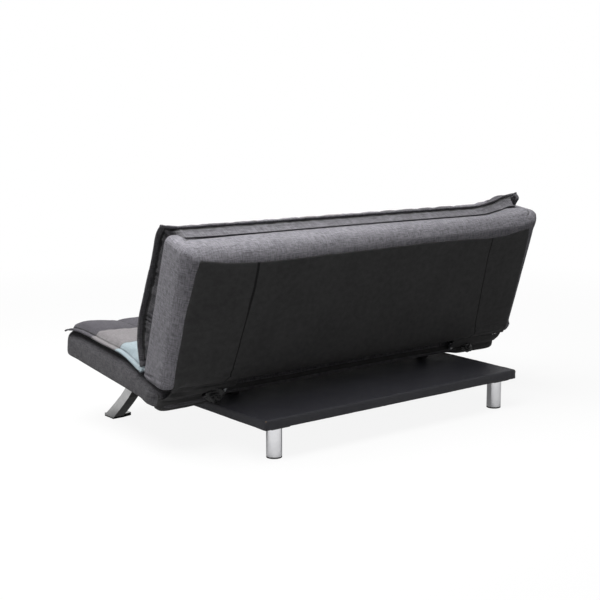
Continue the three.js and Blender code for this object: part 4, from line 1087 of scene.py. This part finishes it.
# Cloth laid over a soft piece: each point falls along its line until it meets the piece
def laidOn(piece, starts, ways, gap):
    tree = BVHTree.FromObject(piece, bpy.context.evaluated_depsgraph_get())
    points = np.empty(starts.shape)
    flatStarts, flatWays, flatPoints = (array.reshape(-1, 3) for array in (starts, ways, points))
    for index, (start, way) in enumerate(zip(flatStarts, flatWays)):
        hit = tree.ray_cast(Vector(start), Vector(way))[0]
        if hit is None:
            hit = tree.find_nearest(Vector(start))[0]
        flatPoints[index] = np.array(hit) - way * gap
    return points


def relax(points, times):
    for _ in range(times):
        middle = (points[:-2, 1:-1] + points[2:, 1:-1] + points[1:-1, :-2] + points[1:-1, 2:]) / 4
        points[1:-1, 1:-1] = middle
        points[0, 1:-1] = (points[0, :-2] + points[0, 2:]) / 2
        points[-1, 1:-1] = (points[-1, :-2] + points[-1, 2:]) / 2
    return points


def turned(matrix, points):
    return points @ np.array(matrix.to_3x3()).T + np.array(matrix.translation)


def turnedWays(matrix, ways):
    return ways @ np.array(matrix.to_3x3()).T


def finishCloth(piece, thickness):
    applyModifier(piece, "SOLIDIFY", thickness=thickness, offset=1.0, use_even_offset=False)
    coat(piece, "blackCloth")
    smooth(piece)


# Rear cover of the back: black cloth in three panels, stretched over the foam and under its lower edge
rearCoverSizes = {
    # millimetres up the back, and the half width there
    "outline": [(34, 0.934), (160, 0.937), (400, 0.932), (560, 0.921), (609, 0.912)],
    # the share of the half width, and how many millimetres the upper edge hangs there
    "topSag": [(-1, 6), (-0.97, 9), (-0.82, 27), (-0.7, 28), (-0.55, 20), (-0.3, 14), (0, 15), (0.33, 13),
               (0.5, 15), (0.7, 13), (0.87, 3), (1, -14)],
    "half": 0.93, "top": 609 * mm, "under": 60 * mm, "round": 58 * mm, "farNarrower": 26 * mm,
    "cell": 11 * mm, "above": 60 * mm, "gap": 1.2 * mm, "thickness": 1.6 * mm,
    # millimetres up the back, and how far the two seams are from the middle there
    "seamLine": [(34, 0.692), (100, 0.686), (170, 0.675), (330, 0.659), (430, 0.652), (500, 0.645),
                 (620, 0.646)],
    "seamReach": 7 * mm, "seamDepth": 0.6 * mm, "farSeam": 0.6, "lap": 1.6 * mm, "lapReach": 24 * mm,
    # one seam is drawn open near the top, the other lies closed: the open seam's groove is wider, in relief and in
    # painted shade
    "openFrom": (430, 330), "nearClosed": 0.9, "farClosed": 2.2,
    "ripple": 1.4 * mm, "rippleReach": 50 * mm, "rippleLeast": 0.35, "rippleScale": (7, 26, 9),
    "wrinkle": 7 * mm, "wrinkleX": (0.5, 0.7), "wrinkleZ": (0.37, 0.3), "wrinkleScale": (3, 14, 24),
}


def makeRearCover():
    sizes = rearCoverSizes
    base = backBaseSizes
    rear, low, radius, under = base["rear"], base["low"], sizes["round"], sizes["under"]
    turnLength = radius * math.pi / 2
    flatLength = sizes["top"] - low - radius
    whole = under + turnLength + flatLength
    rows = round(whole / sizes["cell"])
    columns = round(2 * sizes["half"] / sizes["cell"])
    distance = np.linspace(0, whole, rows + 1)
    turn = np.clip((distance - under) / turnLength, 0, 1) * math.pi / 2
    along = np.where(distance < under, low, low + radius - radius * np.cos(turn))
    along = along + np.clip(distance - under - turnLength, 0, None)
    depth = rear + radius - radius * np.sin(turn) + np.clip(under - distance, 0, None)
    ways = stacked(0.0, np.cos(turn), np.sin(turn))
    share = np.linspace(-1, 1, columns + 1)
    height = along / mm
    half = np.interp(height, *zip(*sizes["outline"]))
    half = half - sizes["farNarrower"] * (share[:, None] < 0)
    seamAt = np.interp(height, *zip(*sizes["seamLine"]))
    x = share[:, None] * half
    sag = np.interp(share, *zip(*sizes["topSag"])) * mm
    lift = np.clip((along - low - radius) / flatLength, 0, 1) ** 3
    points = stacked(x, along - sag[:, None] * lift, depth)
    fall = np.broadcast_to(ways, points.shape)
    starts = turned(backTurn, points - fall * sizes["above"])
    lines = turnedWays(backTurn, fall)
    laid = laidOn(backBase, starts, lines, sizes["gap"])
    toSeam = np.where(x > 0, x - seamAt, x + seamAt)
    groove = np.exp(-(toSeam / sizes["seamReach"]) ** 2) * np.where(x > 0, 1, sizes["farSeam"])
    step = np.where(x > 0, 1, -1) * toSeam
    lap = sizes["lap"] * np.exp(-np.clip(step, 0, None) / sizes["lapReach"]) * (step > 0)
    laid -= lines * (lap - groove * sizes["seamDepth"])[..., None]
    places = stacked(x, distance)
    piece = meshFrom("rearCover", laid, gridFaces(columns + 1, rows + 1)[:, ::-1], places)
    border = np.minimum(whole - distance, half - np.abs(x))
    nearClosed = 1 + sizes["nearClosed"] * fade(height, *sizes["openFrom"])
    closed = np.where(x > 0, nearClosed, sizes["farClosed"])
    storeSeams(piece, stacked(toSeam * closed, 1.0, border))
    subdivide(piece)
    pull = np.exp(-np.abs(readSeams(piece)[:, 0]) / sizes["rippleReach"])
    least = sizes["rippleLeast"]
    ruffle(piece, sizes["ripple"], least + (1 - least) * pull, sizes["rippleScale"])
    points = readPoints(piece)
    wrinkled = fade(points[:, 2], *sizes["wrinkleZ"]) * fade(np.abs(points[:, 0]), *sizes["wrinkleX"])
    ruffle(piece, sizes["wrinkle"], wrinkled, sizes["wrinkleScale"], creased=True)
    finishCloth(piece, sizes["thickness"])
    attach(piece, "back")
    pressOnPlinth(piece)
    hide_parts("back_rear_cover")
    return piece


rearCover = makeRearCover()
print("rear cover made:", len(rearCover.data.polygons), "faces")


# Cloth round the rear of the seat: black, from under the slab up to the fold, and slack at the corners
seatWrapSizes = {
    "skip": 64 * mm, "under": 230 * mm, "edge": 34 * mm, "cell": 12 * mm, "above": 50 * mm, "gap": 2 * mm,
    "thickness": 1.4 * mm, "relaxed": 4, "cornerShrink": 0.42,
    "droop": 8 * mm, "droopX": (0.62, 0.74), "droopStart": 200 * mm, "droopRun": 120 * mm,
    "belly": 0.35, "bellyReach": 75 * mm, "droopBack": 0.35,
    "fold": 6 * mm, "foldStart": 0.58, "foldRun": 0.1, "foldLeast": 0.12, "hem": 20 * mm,
    "foldScale": (2.5, 10, 19),
}


def makeSeatWrap():
    sizes = seatWrapSizes
    base = seatBaseSizes
    corner, bottomEdge, under = base["rearCorner"], sizes["edge"], sizes["under"]
    half, rear = slabHalf, base["rear"]
    quarter = corner * math.pi / 2
    whole = 2 * (quarter + half - corner)
    path = np.linspace(sizes["skip"], whole - sizes["skip"], round(whole / sizes["cell"]) + 1)
    toCorner = np.minimum(path, whole - path)
    turn = np.clip(toCorner / quarter, 0, 1) * math.pi / 2
    sideways = np.where(path < whole / 2, 1, -1)
    x = half - corner + corner * np.cos(turn) - np.clip(toCorner - quarter, 0, None)
    y = rear - corner + corner * np.sin(turn)
    outward = stacked(sideways * np.cos(turn), np.sin(turn))
    plan = stacked(sideways * x, y)

    low, high = base["below"], float(seatTopAt(np.array(rear)))
    edge = bottomEdge * math.pi / 2
    upright = high - low - bottomEdge
    length = under + edge + upright
    down = np.linspace(0, length, round(length / sizes["cell"]) + 1)
    bend = np.clip((down - under) / edge, 0, 1) * math.pi / 2
    reach = bottomEdge - bottomEdge * np.sin(bend) + np.clip(under - down, 0, None)
    z = low + bottomEdge - bottomEdge * np.cos(bend) + np.clip(down - under - edge, 0, None)
    # towards the middle the cloth runs straight ahead under the slab, so its corners don't cross
    straightShare = np.clip(toCorner / quarter, 0, 1)[:, None]
    inwardWay = outward * (1 - straightShare) + np.array([0, 1]) * straightShare
    inwardWay = inwardWay / np.linalg.norm(inwardWay, axis=-1, keepdims=True)
    least = sizes["cornerShrink"]
    shrink = np.where(toCorner < quarter, least + (1 - least) * (toCorner / quarter) ** 2, 1)
    flat = plan[:, None, :] - inwardWay[:, None, :] * (reach[None, :] * shrink[:, None])[..., None]
    points = np.concatenate([flat, np.broadcast_to(z, flat.shape[:2])[..., None]], axis=-1)
    ways = -np.concatenate([outward[:, None, :] * np.sin(bend)[None, :, None],
                            np.broadcast_to(-np.cos(bend), flat.shape[:2])[..., None]], axis=-1)
    starts = turned(seatTurn, points - ways * sizes["above"])
    lines = turnedWays(seatTurn, ways)
    laid = relax(laidOn(seatBase, starts, lines, sizes["gap"]), sizes["relaxed"])
    slack = fade(np.abs(laid[..., 0]), *sizes["droopX"])
    alongSeat = turned(seatTurn.inverted(), laid)[..., 1]
    rearShare = np.clip((alongSeat - (rear - sizes["droopStart"])) / sizes["droopRun"], 0, 1)
    belly = np.exp(-((down - under - sizes["belly"] * edge) / sizes["bellyReach"]) ** 2)
    droop = sizes["droop"] * slack * rearShare * belly[None, :]
    laid[..., 2] -= droop
    laid[..., 1] += sizes["droopBack"] * droop
    places = stacked(path[:, None], down)
    piece = meshFrom("seatWrap", laid, gridFaces(len(path), len(down)), places)
    border = np.minimum(toCorner[:, None] - sizes["skip"], length - down)
    storeSeams(piece, stacked(1.0, 1.0, border))
    subdivide(piece)
    points = readPoints(piece)
    toEnd = (np.abs(points[:, 0]) - sizes["foldStart"]) / sizes["foldRun"]
    hem = np.clip(readSeams(piece)[:, 2] / sizes["hem"], 0, 1)
    folded = np.clip(toEnd, sizes["foldLeast"], 1) * hem
    ruffle(piece, sizes["fold"], folded, sizes["foldScale"], creased=True)
    finishCloth(piece, sizes["thickness"])
    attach(piece, "seat")
    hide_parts("seat_dust_cover")
    return piece


seatWrap = makeSeatWrap()
print("seat wrap made:", len(seatWrap.data.polygons), "faces")


# Where the hinges come out: the seat's black cloth is gathered into a swirl, one on each side
gatherSizes = {
    "place": (0.712, 0.211, 0.214), "reach": (40 * mm, 23 * mm, 24 * mm), "farShare": 0.7,
    "columns": 140, "rows": 90, "folds": 4, "twist": 4.5, "depth": 0.3, "middleDepth": 0.35,
    "lump": 0.3, "lumpScale": 2.2, "drawnBack": 0.25, "fill": 0.4, "anchor": 0.183, "kept": 0.2,
}


def makeHingeGather(side, name):
    sizes = gatherSizes
    cells = {"segments": sizes["columns"], "ring_count": sizes["rows"]}
    piece = addShape(name, bpy.ops.mesh.primitive_uv_sphere_add, radius=1, **cells)
    points = readPoints(piece)
    around = np.arctan2(points[:, 2], points[:, 0])
    out = np.hypot(points[:, 0], points[:, 2])
    swirl = np.sin(sizes["folds"] * around + sizes["twist"] * out * math.pi)
    step = sizes["lumpScale"]
    lump = np.array([noise.noise((x * step, y * step, z * step + side)) for x, y, z in points])
    deep = sizes["depth"] * (sizes["middleDepth"] + (1 - sizes["middleDepth"]) * out)
    scale = 1 + deep * swirl + sizes["lump"] * lump
    points = points * scale[:, None] * np.array(sizes["reach"]) * (1 if side > 0 else sizes["farShare"])
    points[:, 1] -= sizes["drawnBack"] * np.abs(points[:, 0])
    x, y, z = sizes["place"]
    points[:, 0] *= side
    points += np.array([side * x, y, z])
    writePoints(piece, points)
    if side < 0:
        takeUp(piece)
        bpy.ops.object.mode_set(mode="EDIT")
        bpy.ops.mesh.select_all(action="SELECT")
        bpy.ops.mesh.normals_make_consistent(inside=False)
        bpy.ops.object.mode_set(mode="OBJECT")
    storeSeams(piece, np.ones((len(points), 3)))
    unwrapByFace(piece)
    coat(piece, "blackGloss")
    smooth(piece)
    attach(piece, "seat")
    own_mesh(piece)


# Black cloth hangs in folds over the ends of the gap, from the back's cover to the seat's
skirtSizes = {
    "from": 0.618, "to": 0.94, "upperShare": (0.985, 0.955), "columns": 36, "rows": 16, "height": 0.1,
    "seatStart": (0.32, 0.212), "seatWay": (-1, 0),  # y and z
    "backPlace": (0.2177, 0.3074), "backWay": (-0.53, 0.848),
    "above": 0.13, "gap": 1 * mm, "relaxed": 3, "sag": 7 * mm, "thickness": 1.6 * mm, "blendAt": 0.8,
    "fold": 13 * mm, "foldScale": (4, 22, 22), "innerFold": 0.2, "outerRun": 20 * mm,
    "hemRise": 5, "hemFold": 0.08, "fullness": (1.08, 1.12),
}


def makeSkirt(side, name):
    sizes = skirtSizes
    across = np.linspace(sizes["from"], sizes["to"], sizes["columns"])
    share = np.linspace(0, 1, sizes["rows"])
    seatStarts = stacked(side * across, *sizes["seatStart"])
    seatWays = np.broadcast_to(np.array([0.0, *sizes["seatWay"]]), seatStarts.shape)
    way = np.array([0, *sizes["backWay"]])
    upperAcross = across * sizes["upperShare"][0 if side > 0 else 1]
    backPlaces = stacked(side * upperAcross, *sizes["backPlace"])
    backWays = np.broadcast_to(way, backPlaces.shape)
    low = laidOn(seatWrap, seatStarts, seatWays, sizes["gap"])
    high = laidOn(rearCover, backPlaces - sizes["above"] * way, backWays, sizes["gap"])
    laid = low[:, None] * (1 - share)[:, None] + high[:, None] * share[:, None]
    laid = laid - way * (sizes["sag"] * np.sin(math.pi * share))[:, None]
    laid = relax(laid, sizes["relaxed"])
    order = gridFaces(sizes["columns"], sizes["rows"])
    places = stacked(across[:, None], sizes["height"] * share)
    piece = meshFrom(name, laid, order[:, ::-1] if side < 0 else order, places)
    # while it is folded, the seams hold how far each point is from its hems and along the skirt
    toHem = np.minimum(share, 1 - share)
    storeSeams(piece, stacked(1.0, toHem, across[:, None]))
    subdivide(piece)
    subdivide(piece)
    near = readSeams(piece)
    outer = fade(near[:, 2], sizes["to"], sizes["to"] - sizes["outerRun"])
    folded = sizes["innerFold"] + (1 - sizes["innerFold"]) * outer
    folded = folded * np.clip(sizes["hemRise"] * near[:, 1], sizes["hemFold"], 1)
    ruffle(piece, side * sizes["fold"], folded, sizes["foldScale"], creased=True)
    piece.data.attributes["seams"].data.foreach_set("vector", np.ones(3 * len(near), dtype=np.float32))
    finishCloth(piece, sizes["thickness"])
    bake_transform(piece)


for side, word in ((1, "right"), (-1, "left")):
    makeHingeGather(side, "hingeGather_" + word)
    makeSkirt(side, "foldSkirt_" + word)
print("hinge gathers and skirts made")


# Plinth cover: leatherette drawn over a board, with soft edges and small creases at the corners
plinthSizes = {
    "edge": 7 * mm, "cornerEdge": 9 * mm, "voxel": 6.5 * mm, "wave": 0.8 * mm, "waveScale": (6, 6, 6),
    "crease": 1.6 * mm, "creaseScale": (34, 34, 60), "cornerReach": 45 * mm, "flatCrease": 0.25,
}


def makePlinthCover():
    sizes = plinthSizes
    low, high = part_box("plinth_cover")
    piece = addCube("plinthWrap", low, high)
    near = 1e-5
    bevelEdges(piece, lambda a, b: abs(a.z - b.z) > near, sizes["cornerEdge"], 6)
    bevelEdges(piece, lambda a, b: min(a.z, b.z) > high[2] - near, sizes["edge"], 6)
    bevelEdges(piece, lambda a, b: max(a.z, b.z) < low[2] + near, sizes["edge"] / 2, 4)
    applyModifier(piece, "REMESH", mode="VOXEL", voxel_size=sizes["voxel"])
    points = readPoints(piece)
    toSide = high[0] - np.abs(points[:, 0])
    toEnd = np.minimum(high[1] - points[:, 1], points[:, 1] - low[1])
    creased = np.exp(-np.hypot(toSide, toEnd) / sizes["cornerReach"]) + sizes["flatCrease"]
    ruffle(piece, sizes["crease"], creased, sizes["creaseScale"], creased=True)
    ruffle(piece, sizes["wave"], np.ones(len(points)), sizes["waveScale"])
    writePoints(piece, np.clip(readPoints(piece), np.array(low), np.array(high)))
    coat(piece, "leatherette")
    smooth(piece)
    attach(piece, "base")
    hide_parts("plinth_cover")


makePlinthCover()
print("plinth cover made")


# Lights: a broad lamp above one end, a weak one behind, soft light from all round, a white ground
stageLook = {
    "lamps": {
        "ceilingLamp": {"size": 3.4, "place": (1.15, -0.1, 3.4), "power": 202},
        "rearLamp": {"size": 2.5, "place": (0.4, 3.2, 2.9), "power": 2.5},
    },
    "aim": (0, 0, 0.4), "around": 0.118,
    "floorSize": 60, "floorTone": 0.35, "floorRoughness": 0.9, "seenShadow": 0.1, "shineShadow": 0.8,
    "fadeStart": 1.6, "fadeEnd": 4.5,  # between these distances the shadows fade to plain white
}


# What the camera sees, in mirrors and through glass too, apart from the light that reaches the sofa
def seenRays(tree, path):
    mirrored = calc(tree, "MAXIMUM", path["Is Glossy Ray"], path["Is Transmission Ray"])
    return calc(tree, "MAXIMUM", path["Is Camera Ray"], mirrored)


def makeStage():
    look = stageLook
    world = bpy.data.worlds.new("studio")
    bpy.context.scene.world = world
    world.use_nodes = True
    tree = world.node_tree
    tree.nodes.clear()
    path = place(tree, "LightPath").outputs
    seen = seenRays(tree, path)
    strength = rescale(tree, seen, 0.0, 1.0, look["around"], 1.0)
    shine = place(tree, "Background", {"Color": (1, 1, 1, 1), "Strength": strength})
    leave = tree.nodes.new("ShaderNodeOutputWorld")
    tree.links.new(shine.outputs[0], leave.inputs[0])

    for name, lampLook in look["lamps"].items():
        data = bpy.data.lights.new(name, "AREA")
        data.size = lampLook["size"]
        data.energy = lampLook["power"]
        lamp = bpy.data.objects.new(name, data)
        bpy.context.scene.collection.objects.link(lamp)
        lamp.location = lampLook["place"]
        lamp.rotation_mode = "QUATERNION"
        lamp.rotation_quaternion = (Vector(look["aim"]) - lamp.location).to_track_quat("-Z", "Y")

    floor = addShape("studioFloor", bpy.ops.mesh.primitive_plane_add, size=look["floorSize"])
    material = bpy.data.materials.new("studioFloor")
    material.use_nodes = True
    tree = material.node_tree
    shader = tree.nodes["Principled BSDF"]
    path = place(tree, "LightPath").outputs
    seen = seenRays(tree, path)
    tone = rescale(tree, seen, 0.0, 1.0, look["floorTone"], 1.0)
    tree.links.new(blendColors(tree, tone, (0, 0, 0, 1), (1, 1, 1, 1)), shader.inputs["Base Color"])
    shader.inputs["Roughness"].default_value = look["floorRoughness"]
    shader.inputs["Specular IOR Level"].default_value = 0.0
    shine = place(tree, "Emission", {"Color": (1, 1, 1, 1), "Strength": 1.0})
    where = place(tree, "TexCoord").outputs["Object"]
    distance = place(tree, "VectorMath", {0: where}, operation="LENGTH").outputs["Value"]
    nearShare = rescale(tree, distance, look["fadeStart"], look["fadeEnd"], 1.0, 0.0)
    shadow = rescale(tree, path["Is Glossy Ray"], 0.0, 1.0, look["seenShadow"], look["shineShadow"])
    shown = calc(tree, "SUBTRACT", 1.0, calc(tree, "MULTIPLY", shadow, nearShare))
    cover = calc(tree, "MULTIPLY", seen, shown)
    both = place(tree, "MixShader", {0: cover, 1: shader.outputs[0], 2: shine.outputs[0]})
    tree.links.new(both.outputs[0], tree.nodes["Material Output"].inputs["Surface"])
    floor.data.materials.append(material)
    bpy.context.scene.view_settings.view_transform = "Standard"


makeStage()
print("stage set")
